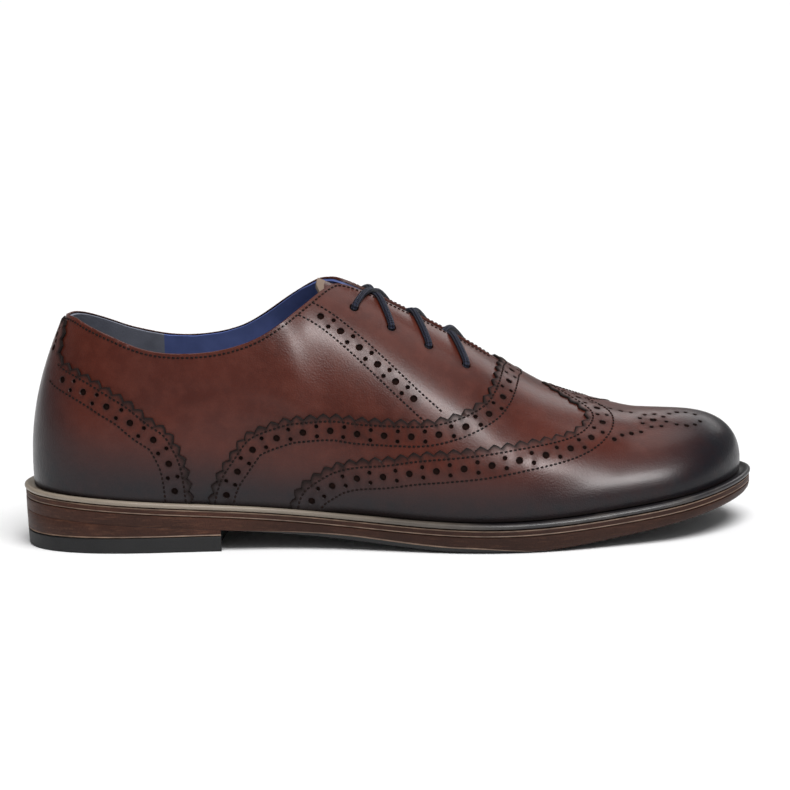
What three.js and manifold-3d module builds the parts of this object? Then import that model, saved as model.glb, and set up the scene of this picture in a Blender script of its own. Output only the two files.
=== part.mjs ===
// Wingtip brogue shoe for the right foot, standing empty on heel and ball.
// Millimetres, +Z up, +X to the toe, the outer side of the foot at -Y.

import * as THREE from 'three';
import { mergeVertices } from 'three/addons/utils/BufferGeometryUtils.js';
import Module from 'manifold-3d';

const manifoldLibrary = await Module();
manifoldLibrary.setup();

// Driving dimensions of the last and the sole.
const SOLE_LENGTH = 300;
const BALL_WIDTH = 104;
const HEEL_WIDTH = 66;
const COLLAR_WIDTH = 45;
const INSTEP_RISE = 100;
const TOE_RISE = 29.2;
const HEEL_RISE = 13.1;
const TOE_SPRING = 9.9;
const WELT_LEDGE = 5.6;

// Thicknesses of the leather, rubber and cloth, and the gap between two pieces that meet.
const CLEARANCE = 0.3;
const UPPER_WALL = 2.2;
const OVERLAY_LEATHER = 0.9;
const CAP_LEATHER = 1.3;
const TONGUE_WALL = 1.8;
const INSOLE_THICKNESS = 3;
const WELT_THICKNESS = 1.8;
const MIDSOLE_THICKNESS = 2.5;
const OUTSOLE_THICKNESS = 6.9;
const LIFT_THICKNESS = 6.2;

// Sizes of edges, holes and laces.
const WELT_HOLD = 4;
const MIDSOLE_INSET = 0.5;
const SOLE_EDGE_ROUND = 2.8;
const SOLE_EDGE_INSET = 3;
const FULL_ROUND_AT = 144;
const HEEL_LENGTH = 84;
const HEEL_SKEW = 4;
const HEEL_TAPER = 0.3;
const BREAST_CURVE = 3;
const EYELET_DIAMETER = 3.6;
const LACE_DIAMETER = 2.8;
const LACE_CLEARANCE = 0.45;
const LACE_DIP = 0.8;
const LACE_PASS = 2;
const TONGUE_CLEARANCE = 0.6;
const OVERLAY_CLEARANCE = 0.5;
const CAP_SEAM = 0.5;

// Steps between columns of faces: close together round the heel and the toe, which are ROUND_END stations long.
const CLOSE_STEP = 0.25;
const WIDE_STEP = 0.5;
const ROUND_END = 1.5;
const LACE_SIDES = 8;

// Share of the way across at which the lower laces dip under the other facing.
const LACE_REACH = 0.54;

/** Names the columns of a short table of sizes. */
function table(columns, rows) {
  return rows.map((row) => Object.fromEntries(columns.map((name, k) => [name, row[k]])));
}

// Sections of the last, heel back to toe tip.
// along, top: shares of SOLE_LENGTH, where the section starts at the sole and ends at the top of the last.
// outer, inner: half widths of the sole, shares of HEEL_WIDTH where ball is 0, of BALL_WIDTH where it is 1.
// ledge: share of WELT_LEDGE. topOuter, topInner: half widths of the top, shares of COLLAR_WIDTH.
// veer: share of BALL_WIDTH by which the ridge leans to the inner side.
// instep, toe: height of the top over the seat, shares of INSTEP_RISE and TOE_RISE.
// flare, crown: degrees by which the section leaves the sole and meets the top. low, high: how strongly.
const SECTIONS = table(
  ['along', 'ball', 'outer', 'inner', 'ledge', 'top', 'topOuter', 'topInner', 'veer', 'instep', 'toe',
    'flare', 'low', 'crown', 'high'],
  [
    [0.000, 0, 0.000, 0.000, 0.96, 0.080, 0.000, 0.000, 0.000, 0.748, 0.000, 2, 0.36, 64, 0.42],
    [0.030, 0, 0.311, 0.311, 0.82, 0.095, 0.233, 0.233, 0.000, 0.766, 0.000, 4, 0.36, 68, 0.38],
    [0.110, 0, 0.477, 0.470, 0.64, 0.140, 0.433, 0.422, 0.000, 0.804, 0.000, 9, 0.34, 76, 0.36],
    [0.203, 0, 0.508, 0.492, 0.57, 0.207, 0.500, 0.489, 0.000, 0.855, 0.000, 10, 0.33, 80, 0.35],
    [0.297, 0, 0.508, 0.447, 0.57, 0.287, 0.456, 0.444, 0.000, 0.933, 0.000, 10, 0.34, 72, 0.35],
    [0.387, 1, 0.337, 0.274, 0.61, 0.357, 0.244, 0.244, 0.000, 1.000, 0.000, 8, 0.36, 48, 0.33],
    [0.477, 1, 0.389, 0.313, 0.68, 0.433, 0.000, 0.000, 0.000, 0.942, 0.000, 8, 0.38, 6, 0.22],
    [0.567, 1, 0.457, 0.399, 0.77, 0.530, 0.000, 0.000, 0.000, 0.806, 0.000, 9, 0.36, 0, 0.26],
    [0.657, 1, 0.498, 0.476, 0.91, 0.623, 0.000, 0.000, 0.000, 0.600, 0.170, 10, 0.33, 0, 0.32],
    [0.747, 1, 0.481, 0.500, 0.99, 0.710, 0.000, 0.000, 0.000, 0.300, 0.580, 10, 0.30, 0, 0.38],
    [0.840, 1, 0.419, 0.457, 1.03, 0.790, 0.000, 0.000, 0.008, 0.100, 0.850, 10, 0.30, 0, 0.45],
    [0.938, 1, 0.298, 0.348, 1.07, 0.857, 0.000, 0.000, 0.015, 0.000, 0.980, 10, 0.34, 0, 0.50],
    [1.000, 1, -0.029, 0.029, 1.05, 0.887, 0.000, 0.000, 0.019, 0.000, 0.850, 8, 0.44, 0, 0.56],
  ],
);

const TOE_AT = SECTIONS.length - 1;
const LOOP_LENGTH = 2 * TOE_AT;
// Station from which both sides share the ridge: the first section with no width at its top.
const RIDGE_FROM = SECTIONS.findIndex((row, k) => k > 0 && row.topOuter === 0);
// Stations over which the two tops run together before that.
const RIDGE_BLEND = 0.8;

// Side line of the sole at even steps from heel to toe: its climb at the heel (share of HEEL_RISE),
// its spring at the toe (share of TOE_SPRING) and how thick the outsole is (share of OUTSOLE_THICKNESS).
const SOLE_LINE = table(['heel', 'spring', 'thick'], [
  [1.000, 0, 0.72],
  [0.832, 0, 0.72],
  [0.649, 0, 0.72],
  [0.496, 0, 0.72],
  [0.313, 0, 0.76],
  [0.130, 0, 0.88],
  [0.000, 0, 1.00],
  [0.000, 0, 1.00],
  [0.000, 0.19, 0.92],
  [0.000, 0.515, 0.75],
  [0.000, 1.000, 0.62],
]);

// Lines drawn on the last. at: station along the loop, 0 at the heel back and 12 at the toe tip.
// up: share of the section's height parameter, 0 at the sole and 1 at the top.
const TOPLINE = table(['at', 'upOuter', 'upInner'], [
  [0, 0.935, 0.935],
  [0.25, 0.936, 0.934],
  [0.5, 0.935, 0.93],
  [0.75, 0.93, 0.92],
  [1.05, 0.915, 0.9],
  [1.4, 0.885, 0.868],
  [1.8, 0.847, 0.825],
  [2.15, 0.81, 0.785],
  [2.5, 0.768, 0.752],
  [2.9, 0.727, 0.718],
  [3.35, 0.698, 0.692],
  [3.8, 0.681, 0.682],
  [4.2, 0.676, 0.688],
  [4.6, 0.678, 0.71],
  [5.0, 0.687, 0.733],
  [5.35, 0.702, 0.752],
  [5.65, 0.73, 0.785],
  [5.85, 0.77, 0.823],
  [6.0, 0.818, 0.855],
  [6.12, 0.868, 0.89],
  [6.24, 0.9, 0.912],
  [6.45, 0.925, 0.93],
  [6.8, 0.943, 0.945],
  [7.2, 0.95, 0.95],
  [7.6, 0.954, 0.954],
  [8.0, 0.963, 0.963],
  [8.25, 0.98, 0.98],
  [8.4, 1, 1],
]);
const COUNTER_EDGE = table(['at', 'up'], [
  [0, 0.905],
  [0.22, 0.905],
  [0.44, 0.903],
  [0.62, 0.894],
  [0.74, 0.86],
  [0.84, 0.76],
  [1.0, 0.7],
  [1.2, 0.675],
  [1.4, 0.655],
  [1.65, 0.628],
  [1.95, 0.59],
  [2.25, 0.542],
  [2.56, 0.487],
  [2.85, 0.413],
  [3.12, 0.35],
  [3.27, 0.269],
  [3.37, 0.18],
  [3.41, 0.06],
]);
const CAP_EDGE = table(['at', 'up'], [
  [4.925, 0.05],
  [5.05, 0.094],
  [5.225, 0.125],
  [5.425, 0.15],
  [5.65, 0.169],
  [6.025, 0.188],
  [6.425, 0.208],
  [6.85, 0.242],
  [7.25, 0.273],
  [7.85, 0.325],
  [8.375, 0.394],
  [8.925, 0.488],
  [9.3, 0.575],
  [9.5, 0.656],
  [9.6, 0.731],
  [9.575, 0.8],
  [9.425, 0.869],
  [9.25, 0.931],
  [9.1, 1],
]);
const CAP_NOTCH = CAP_EDGE.reduce((best, row, k) => (row.at > CAP_EDGE[best].at ? k : best), 0);
// CAP_NOTCH: the foremost row of CAP_EDGE. cap, below: the row of CAP_EDGE under each row of the vamp's edge.
const VAMP_EDGE = table(['at', 'up', 'cap'], [
  [3.7, 0.05, null],
  [3.8, 0.131, null],
  [3.975, 0.206, null],
  [4.15, 0.269, null],
  [4.3, 0.306, null],
  [4.52, 0.326, null],
  [4.8, 0.338, null],
  [5.0, 0.341, 0],
  [5.15, 0.338, 1],
  [5.35, 0.332, 2],
  [5.6, 0.325, 3],
  [5.85, 0.32, 4],
  [6.15, 0.319, 5],
  [6.55, 0.336, 6],
  [6.9, 0.358, 7],
  [7.2, 0.384, 8],
  [7.5, 0.425, 8.5],
  [7.73, 0.469, 9],
  [7.92, 0.52, 9.5],
  [8.07, 0.58, 10],
  [8.225, 0.688, 10.6],
  [8.34, 0.825, 11],
  [8.4, 0.93, 11.5],
  [8.44, 1, 12],
  [8.55, 1, 13],
  [8.66, 1, 14],
  [8.77, 1, 15],
  [8.89, 1, 16],
  [9.0, 1, 17],
]);
const TONGUE_EDGE = table(['at', 'up'], [
  [5.9, 0.88],
  [5.93, 0.84],
  [5.99, 0.79],
  [6.12, 0.73],
  [6.33, 0.67],
  [6.7, 0.62],
  [7.2, 0.6],
  [7.7, 0.61],
  [8.2, 0.64],
  [8.7, 0.7],
]);
const EYELETS = table(['at', 'up'], [
  [6.4, 0.756],
  [6.9, 0.74],
  [7.4, 0.738],
  [7.9, 0.731],
]);

/** Second derivatives of the cubic through evenly numbered values, closed on itself or with free ends. */
function bends(values, closed) {
  const count = values.length;
  const wrap = (k) => (k + count) % count;
  const matrix = values.map((_, k) => {
    const row = new Array(count + 1).fill(0);
    const inside = closed || (k > 0 && k < count - 1);
    row[k] = inside ? 4 : 1;
    if (inside) {
      row[wrap(k - 1)] = 1;
      row[wrap(k + 1)] = 1;
      row[count] = 6 * (values[wrap(k - 1)] - 2 * values[k] + values[wrap(k + 1)]);
    }
    return row;
  });
  for (let k = 0; k < count; k += 1) {
    for (let other = 0; other < count; other += 1) {
      const factor = other === k ? 0 : matrix[other][k] / matrix[k][k];
      if (factor !== 0) {
        matrix[other] = matrix[other].map((entry, j) => entry - factor * matrix[k][j]);
      }
    }
  }
  return matrix.map((row, k) => row[count] / row[k]);
}

/** Smooth curve through the rows of a table of numbers, as a function of the row number. */
function smooth(rows, closed = false) {
  const count = rows.length;
  const names = Object.keys(rows[0]);
  const curves = names.map((name) => {
    const values = rows.map((row) => row[name]);
    return { name, values, second: bends(values, closed) };
  });
  return (place) => {
    const bounded = closed
      ? THREE.MathUtils.euclideanModulo(place, count)
      : THREE.MathUtils.clamp(place, 0, count - 1);
    const from = Math.min(Math.floor(bounded), closed ? count - 1 : count - 2);
    const to = (from + 1) % count;
    const share = bounded - from;
    const rest = 1 - share;
    const point = {};
    for (const { name, values, second } of curves) {
      point[name] = rest * values[from] + share * values[to]
        + ((rest ** 3 - rest) * second[from] + (share ** 3 - share) * second[to]) / 6;
    }
    return point;
  };
}

const SOLE_STACK = WELT_THICKNESS + MIDSOLE_THICKNESS + OUTSOLE_THICKNESS + 3 * CLEARANCE;
const soleLine = smooth(SOLE_LINE);
const capLine = smooth(CAP_EDGE);

/** Reads the side line of the sole at a distance from the heel back. */
function sideLine(x) {
  return soleLine((x / SOLE_LENGTH) * (SOLE_LINE.length - 1));
}

/** Height of the seat, on which the upper stands. */
function seat(x) {
  const { heel, spring } = sideLine(x);
  return SOLE_STACK + heel * HEEL_RISE + spring * TOE_SPRING;
}

const weltTop = (x) => seat(x) - CLEARANCE;
const weltBottom = (x) => weltTop(x) - WELT_THICKNESS;
const midsoleTop = (x) => weltBottom(x) - CLEARANCE;
const midsoleBottom = (x) => midsoleTop(x) - MIDSOLE_THICKNESS;
const outsoleTop = (x) => midsoleBottom(x) - CLEARANCE;
const outsoleBottom = (x) => Math.max(0, outsoleTop(x) - OUTSOLE_THICKNESS * sideLine(x).thick);

/** Turns one row of SECTIONS into real lengths, on the outer side (-1) or the inner side (1). */
function station(row, side) {
  const width = row.ball === 1 ? BALL_WIDTH : HEEL_WIDTH;
  const halfTop = (side < 0 ? row.topOuter : row.topInner) * COLLAR_WIDTH;
  return {
    x: row.along * SOLE_LENGTH,
    y: side * (side < 0 ? row.outer : row.inner) * width,
    ledge: row.ledge * WELT_LEDGE,
    topX: row.top * SOLE_LENGTH,
    topY: side * halfTop + row.veer * BALL_WIDTH,
    topZ: seat(row.along * SOLE_LENGTH) + row.instep * INSTEP_RISE + row.toe * TOE_RISE,
    flare: THREE.MathUtils.degToRad(row.flare),
    low: row.low,
    crown: THREE.MathUtils.degToRad(row.crown),
    high: row.high,
  };
}

const loopRows = [
  ...SECTIONS.map((row) => station(row, -1)),
  ...SECTIONS.slice(1, -1).reverse().map((row) => station(row, 1)),
];
const loop = smooth(loopRows, true);
const opposite = (at) => LOOP_LENGTH - at;
const fromHeel = (at) => Math.min(at, opposite(at));

/** Point and outward direction of the sole's edge at a station. */
function soleEdge(at) {
  const step = 0.001;
  const here = loop(at);
  const before = loop(at - step);
  const after = loop(at + step);
  const run = new THREE.Vector2(after.x - before.x, after.y - before.y).normalize();
  return { here, outward: new THREE.Vector3(run.y, -run.x, 0) };
}

/** Point of the sole's edge moved inwards, at the height that a line of the sole has there. */
function solePoint(at, inset, height) {
  const { here, outward } = soleEdge(at);
  const x = here.x - inset * outward.x;
  return new THREE.Vector3(x, here.y - inset * outward.y, height(x));
}

/** How far the tops of both sides have run together at a station: 0 at the collar, 1 on the ridge. */
function ridgeShare(at) {
  return THREE.MathUtils.smoothstep(fromHeel(at), RIDGE_FROM - RIDGE_BLEND, RIDGE_FROM);
}

/** Top of the last at a station: each side has its own at the collar, and both share one ridge further on. */
function lastTop(at) {
  const near = loop(at);
  const far = loop(opposite(at));
  const own = new THREE.Vector3(near.topX, near.topY, near.topZ);
  return own.lerp(new THREE.Vector3(far.topX, far.topY, far.topZ), ridgeShare(at) / 2);
}

/** Slope of the ridge along the shoe at a station, 0 where the top is open. */
function ridgeSlope(at) {
  const step = 0.01;
  const steepest = 1.2;
  const nearToe = 0.02;
  const share = ridgeShare(at);
  if (share === 0 || fromHeel(at) > TOE_AT - nearToe) {
    return 0;
  }
  const before = lastTop(at - step);
  const after = lastTop(at + step);
  return share * THREE.MathUtils.clamp((after.z - before.z) / (after.x - before.x), -steepest, steepest);
}

/** Point of the last: a cubic rib from the seat to the top, bowed by its flare and crown. */
function last(at, up) {
  const around = THREE.MathUtils.euclideanModulo(at, LOOP_LENGTH);
  const { here, outward } = soleEdge(around);
  const foot = solePoint(around, here.ledge, seat);
  const top = lastTop(around);
  const chord = foot.distanceTo(top);
  const climb = new THREE.Vector3(0, 0, Math.cos(here.flare)).addScaledVector(outward, Math.sin(here.flare));
  const rise = Math.sin(here.crown) - Math.cos(here.crown) * ridgeSlope(around) * outward.x;
  const arrive = new THREE.Vector3(0, 0, rise).addScaledVector(outward, -Math.cos(here.crown));
  const low = foot.clone().addScaledVector(climb, here.low * chord);
  const high = top.clone().addScaledVector(arrive, -here.high * chord);
  return new THREE.CubicBezierCurve3(foot, low, high, top).getPoint(up);
}

/** Outward direction of the last, level at the seat and shared by both sides on the ridge. */
function outwardOf(at, up) {
  const step = 0.004;
  const around = last(at + step, up).sub(last(at - step, up));
  const above = last(at, Math.min(1, up + step)).sub(last(at, Math.max(0, up - step)));
  const direction = around.cross(above);
  if (up === 0) {
    direction.z = 0;
  }
  return direction.normalize();
}

/** Point of a layer over (positive) or under (negative) the last. */
function layer(at, up, offset) {
  const belowTip = 0.985;
  const folded = up === 1 && fromHeel(at) >= RIDGE_FROM;
  const direction = outwardOf(at, folded ? belowTip : up);
  if (folded) {
    direction.add(outwardOf(opposite(at), belowTip)).normalize();
  }
  const point = last(at, up).addScaledVector(direction, offset);
  if (up === 0) {
    point.z = seat(point.x);
  }
  return point;
}

/** A closed skin of triangles, whose equal corners are one. */
class Skin {
  constructor() {
    this.corners = [];
    this.faces = [];
    this.places = new Map();
  }

  corner(point) {
    const grain = 1e4;
    const place = point.toArray().map((value) => Math.round(value * grain)).join();
    if (!this.places.has(place)) {
      this.places.set(place, this.corners.length);
      this.corners.push(point);
    }
    return this.places.get(place);
  }

  face(a, b, c) {
    if (a !== b && b !== c && c !== a) {
      this.faces.push([a, b, c]);
    }
  }

  quad(a, b, c, d) {
    this.face(a, b, c);
    this.face(a, c, d);
  }

  /** Joins neighbouring rows of points, given in order round the faces' outer side. */
  sheet(rows) {
    const ids = rows.map((row) => row.map((point) => this.corner(point)));
    for (let k = 0; k + 1 < ids.length; k += 1) {
      for (let j = 0; j + 1 < ids[k].length; j += 1) {
        this.quad(ids[k][j], ids[k + 1][j], ids[k + 1][j + 1], ids[k][j + 1]);
      }
    }
  }

  /** Edges that only one face uses, in the direction of that face. */
  rim() {
    const used = new Set(this.faces.flatMap(([a, b, c]) => [`${a},${b}`, `${b},${c}`, `${c},${a}`]));
    return [...used].map((edge) => edge.split(',').map(Number)).filter(([a, b]) => !used.has(`${b},${a}`));
  }

  geometry() {
    const built = new THREE.BufferGeometry();
    const values = this.corners.flatMap((corner) => corner.toArray());
    built.setAttribute('position', new THREE.Float32BufferAttribute(values, 3));
    built.setIndex(this.faces.flat());
    built.computeVertexNormals();
    return built;
  }
}

/** Shell between two offsets of the last, over patches of columns of places { at, up } on it. */
function shell(patches, outer, inner) {
  const skin = new Skin();
  const under = [];
  for (const columns of patches) {
    const places = columns.flat();
    skin.sheet(columns.map((column) => column.map(({ at, up }) => layer(at, up, outer))));
    places.forEach(({ at, up }) => {
      under[skin.corner(layer(at, up, outer))] = layer(at, up, inner);
    });
  }
  const outside = skin.faces.slice();
  const rim = skin.rim();
  const below = under.map((point) => skin.corners.push(point) - 1);
  outside.forEach(([a, b, c]) => skin.face(below[a], below[c], below[b]));
  rim.forEach(([a, b]) => skin.quad(b, a, below[a], below[b]));
  return skin.geometry();
}

/** Places along a straight line on the last, from { at, up } to { at, up }. */
function between(from, to, rows) {
  return Array.from({ length: rows + 1 }, (_, j) => {
    const share = j / rows;
    const at = THREE.MathUtils.lerp(from.at, to.at, share);
    return { at, up: share === 1 ? to.up : THREE.MathUtils.lerp(from.up, to.up, share) };
  });
}

/** Even steps from one value to another, without the first. */
function steps(from, to, size) {
  const count = Math.max(1, Math.round((to - from) / size));
  return Array.from({ length: count }, (_, k) => THREE.MathUtils.lerp(from, to, (k + 1) / count));
}

/** Stations of half the loop, close together round the heel and the toe. */
const halfLoop = [
  0,
  ...steps(0, ROUND_END, CLOSE_STEP),
  ...steps(ROUND_END, TOE_AT - ROUND_END, WIDE_STEP),
  ...steps(TOE_AT - ROUND_END, TOE_AT, CLOSE_STEP),
];
const wholeLoop = [...halfLoop, ...halfLoop.slice(0, -1).reverse().map(opposite)];

/** The same column on the other side of the shoe. */
function mirrored(column) {
  return column.map(({ at, up }) => ({ at: opposite(at), up }));
}

/** The columns of a piece's other side, toe end first. */
function otherSide(half) {
  return half.slice().reverse().map(mirrored);
}

/** Upper: one hollow wall from the seat to the topline, with the open throat between its facings. */
function makeUpper() {
  const rowsUp = 9;
  const end = TOPLINE[TOPLINE.length - 1].at;
  const ridge = halfLoop.filter((at) => at > end).map((at) => ({ at, upOuter: 1, upInner: 1 }));
  const half = [...TOPLINE, ...ridge];
  const outer = half.map(({ at, upOuter }) => between({ at, up: 0 }, { at, up: upOuter }, rowsUp));
  const inner = half.map(({ at, upInner }) => between({ at, up: 0 }, { at, up: upInner }, rowsUp));
  const columns = [...outer, ...inner.slice(0, -1).reverse().map(mirrored)];
  const wall = toManifold(shell([columns], 0, -UPPER_WALL));
  const holes = EYELETS.flatMap(({ at, up }) => [eyeletHole(at, up), eyeletHole(opposite(at), up)]);
  return toGeometry(holes.reduce((left, hole) => left.subtract(hole), wall));
}

/** Pin that punches an eyelet straight through the wall. */
function eyeletHole(at, up) {
  const sides = 10;
  const pin = new THREE.CylinderGeometry(EYELET_DIAMETER / 2, EYELET_DIAMETER / 2, 3 * UPPER_WALL, sides);
  const turn = new THREE.Quaternion().setFromUnitVectors(new THREE.Vector3(0, 1, 0), outwardOf(at, up));
  pin.applyQuaternion(turn);
  const middle = layer(at, up, -UPPER_WALL / 2);
  pin.translate(middle.x, middle.y, middle.z);
  return toManifold(pin);
}

/** Solid for joining and cutting. */
function toManifold(geometry) {
  const bare = geometry.clone();
  bare.deleteAttribute('normal');
  bare.deleteAttribute('uv');
  const merged = mergeVertices(bare, 1e-4);
  const mesh = new manifoldLibrary.Mesh({
    numProp: 3,
    vertProperties: merged.getAttribute('position').array,
    triVerts: new Uint32Array(merged.index.array),
  });
  return new manifoldLibrary.Manifold(mesh);
}

/** Geometry of a joined or cut solid. */
function toGeometry(solid) {
  const { numProp, vertProperties, triVerts } = solid.getMesh();
  const built = new THREE.BufferGeometry();
  built.setAttribute('position', new THREE.BufferAttribute(vertProperties.slice(), numProp));
  built.setIndex(Array.from(triVerts));
  built.computeVertexNormals();
  return built;
}

/** Heel counter: wraps the back of the upper, with a narrow tail up its back seam. */
function makeCounter() {
  const rowsUp = 7;
  const half = COUNTER_EDGE.map((top) => between({ at: top.at, up: 0 }, top, rowsUp));
  const innerSide = half.slice(1).reverse().map((column) => column.map(({ at, up }) => ({ at: -at, up })));
  return shell([[...innerSide, ...half]], OVERLAY_CLEARANCE + OVERLAY_LEATHER, OVERLAY_CLEARANCE);
}

/** Place just behind the edge of the wing cap, at a row of its table. */
function besideCap(row) {
  const step = 0.01;
  const { at, up } = capLine(row);
  const pitch = SOLE_LENGTH / TOE_AT;
  const chord = last(at, 0).distanceTo(last(at, 1));
  const before = capLine(row - step);
  const after = capLine(row + step);
  const run = new THREE.Vector2((after.at - before.at) * pitch, (after.up - before.up) * chord).normalize();
  return { at: at - (CAP_SEAM * run.y) / pitch, up: up + (CAP_SEAM * run.x) / chord };
}

/** Vamp: the band between the wing cap and the quarters, from the throat back along both sides. */
function makeVamp() {
  const rowsUp = 5;
  const half = VAMP_EDGE.map(({ at, up, cap }) => between(
    cap === null ? { at, up: 0 } : besideCap(cap),
    { at, up },
    rowsUp,
  ));
  const tip = { at: (VAMP_EDGE[VAMP_EDGE.length - 1].at + CAP_EDGE[CAP_EDGE.length - 1].at) / 2, up: 1 };
  half.push(between(tip, tip, rowsUp));
  return shell([half, otherSide(half)], OVERLAY_CLEARANCE + OVERLAY_LEATHER, OVERLAY_CLEARANCE);
}

/** Wing cap: the toe cap with a peak on the ridge and a wing down each side. */
function makeWingCap() {
  const rowsBelow = 7;
  const rowsAbove = 3;
  const notch = CAP_EDGE[CAP_NOTCH];
  const front = halfLoop.filter((at) => at > notch.at).map((at) => ({ at, up: notch.up }));
  const lower = [...CAP_EDGE.slice(0, CAP_NOTCH + 1), ...front]
    .map((top) => between({ at: top.at, up: 0 }, top, rowsBelow));
  const upper = [...CAP_EDGE.slice(CAP_NOTCH).reverse(), ...front]
    .map((bottom) => between(bottom, { at: bottom.at, up: 1 }, rowsAbove));
  const patches = [lower, otherSide(lower), upper, otherSide(upper)];
  return shell(patches, OVERLAY_CLEARANCE + CAP_LEATHER, OVERLAY_CLEARANCE);
}

/** Tongue: lies under the facings and bridges the throat. */
function makeTongue() {
  const rowsUp = 4;
  const innermost = 0.955;
  const columns = TONGUE_EDGE.map(({ at, up }) => {
    const side = between({ at, up }, { at, up: innermost }, rowsUp);
    return [...side, ...mirrored(side).reverse()];
  });
  const outer = -UPPER_WALL - TONGUE_CLEARANCE;
  return shell([columns], outer, outer - TONGUE_WALL);
}

/** Point round the sole at a station, from the { inset, height } functions of its ring. */
function ringPoint(at, { inset, height }) {
  const around = THREE.MathUtils.euclideanModulo(at, LOOP_LENGTH);
  return solePoint(around, inset(around), height);
}

/** Slab of the whole sole: rings carried round its edge, the top one first, closed from side to side. */
function soleSlab(rings) {
  const skin = new Skin();
  const strips = (ring) => halfLoop.map((at) => [ringPoint(at, ring), ringPoint(-at, ring)]);
  skin.sheet(wholeLoop.map((at) => rings.map((ring) => ringPoint(at, ring)).reverse()));
  skin.sheet(strips(rings[0]));
  skin.sheet(strips(rings[rings.length - 1]).reverse());
  return skin.geometry();
}

/** Ring of the sole's edge: a closed section carried round it, corners in order up the outside. */
function edgeRing(section) {
  const skin = new Skin();
  skin.sheet(wholeLoop.map((at) => [...section, section[0]].map((corner) => ringPoint(at, corner))));
  return skin.geometry();
}

/** Welt: a strip under the upper's edge, with a round bead outside. */
function makeWelt() {
  const beadSteps = 3;
  const radius = WELT_THICKNESS / 2;
  const bead = Array.from({ length: beadSteps + 1 }, (_, k) => {
    const angle = Math.PI * (k / beadSteps - 0.5);
    return {
      inset: () => radius - radius * Math.cos(angle),
      height: (x) => weltBottom(x) + radius + radius * Math.sin(angle),
    };
  });
  const held = (at) => loop(at).ledge + WELT_HOLD;
  return edgeRing([...bead, { inset: held, height: weltTop }, { inset: held, height: weltBottom }]);
}

/** Midsole: a plain layer between welt and outsole. */
function makeMidsole() {
  const inset = () => MIDSOLE_INSET;
  return soleSlab([{ inset, height: midsoleTop }, { inset, height: midsoleBottom }]);
}

/** Outsole: square at the heel, its lower edge rounded from the waist forward, flat under the ball. */
function makeOutsole() {
  const roundness = (x) => THREE.MathUtils.smoothstep(x, HEEL_LENGTH, FULL_ROUND_AT);
  const middle = 0.3;
  const cut = (share) => ({
    inset: (at) => MIDSOLE_INSET + roundness(loop(at).x) * SOLE_EDGE_INSET * share * share,
    height: (x) => outsoleBottom(x) + roundness(x) * SOLE_EDGE_ROUND * (1 - share) ** 2,
  });
  const top = { inset: () => MIDSOLE_INSET, height: outsoleTop };
  return soleSlab([top, cut(0), cut(1 - middle), cut(1)]);
}

/** Insole: lies on the welt inside the wall of the upper. */
function makeInsole() {
  const inset = (at) => loop(at).ledge + UPPER_WALL + CLEARANCE;
  const top = (x) => seat(x) + INSOLE_THICKNESS;
  return soleSlab([{ inset, height: top }, { inset, height: seat }]);
}

/** Station on the outer side where the sole's edge lies at a distance from the heel back. */
function stationAt(x) {
  let low = 0;
  let high = TOE_AT;
  const halvings = 40;
  for (let k = 0; k < halvings; k += 1) {
    const middle = (low + high) / 2;
    if (loop(middle).x < x) {
      low = middle;
    } else {
      high = middle;
    }
  }
  return low;
}

/** Block of the heel from one ring to the next; its breast is a shallow parabola to the front. */
function heelBlock(top, bottom) {
  const across = 4;
  const along = 12;
  const outerEnd = stationAt(HEEL_LENGTH);
  const innerEnd = stationAt(HEEL_LENGTH + HEEL_SKEW);
  const sharpness = 6;
  const line = (ring, k) => {
    const share = k / along;
    const outer = ringPoint(outerEnd * share, ring);
    const inner = ringPoint(-innerEnd * share, ring);
    return Array.from({ length: across + 1 }, (_, j) => {
      const place = j / across;
      const point = outer.clone().lerp(inner, place);
      point.x -= BREAST_CURVE * 4 * place * (1 - place) * share ** sharpness;
      point.z = ring.height(point.x);
      return point;
    });
  };
  const lines = (ring) => Array.from({ length: along + 1 }, (_, k) => line(ring, k));
  const above = lines(top);
  const below = lines(bottom);
  const skin = new Skin();
  skin.sheet(above);
  skin.sheet(below.slice().reverse());
  skin.sheet(above.map((points, k) => [below[k][0], points[0]]));
  skin.sheet(above.map((points, k) => [points[across], below[k][across]]));
  skin.sheet(above[along].map((point, j) => [below[along][j], point]));
  return skin.geometry();
}

const heelRing = (taper, height) => ({ inset: () => MIDSOLE_INSET + taper * HEEL_TAPER, height });

/** Heel stack: from the lift up to the outsole, which it follows. */
function makeHeelStack() {
  const underSole = (x) => outsoleBottom(x) - CLEARANCE;
  return heelBlock(heelRing(0, underSole), heelRing(0.5, () => LIFT_THICKNESS + CLEARANCE));
}

/** Heel lift: the flat rubber block on the floor. */
function makeHeelLift() {
  return heelBlock(heelRing(0.5, () => LIFT_THICKNESS), heelRing(1, () => 0));
}

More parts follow.
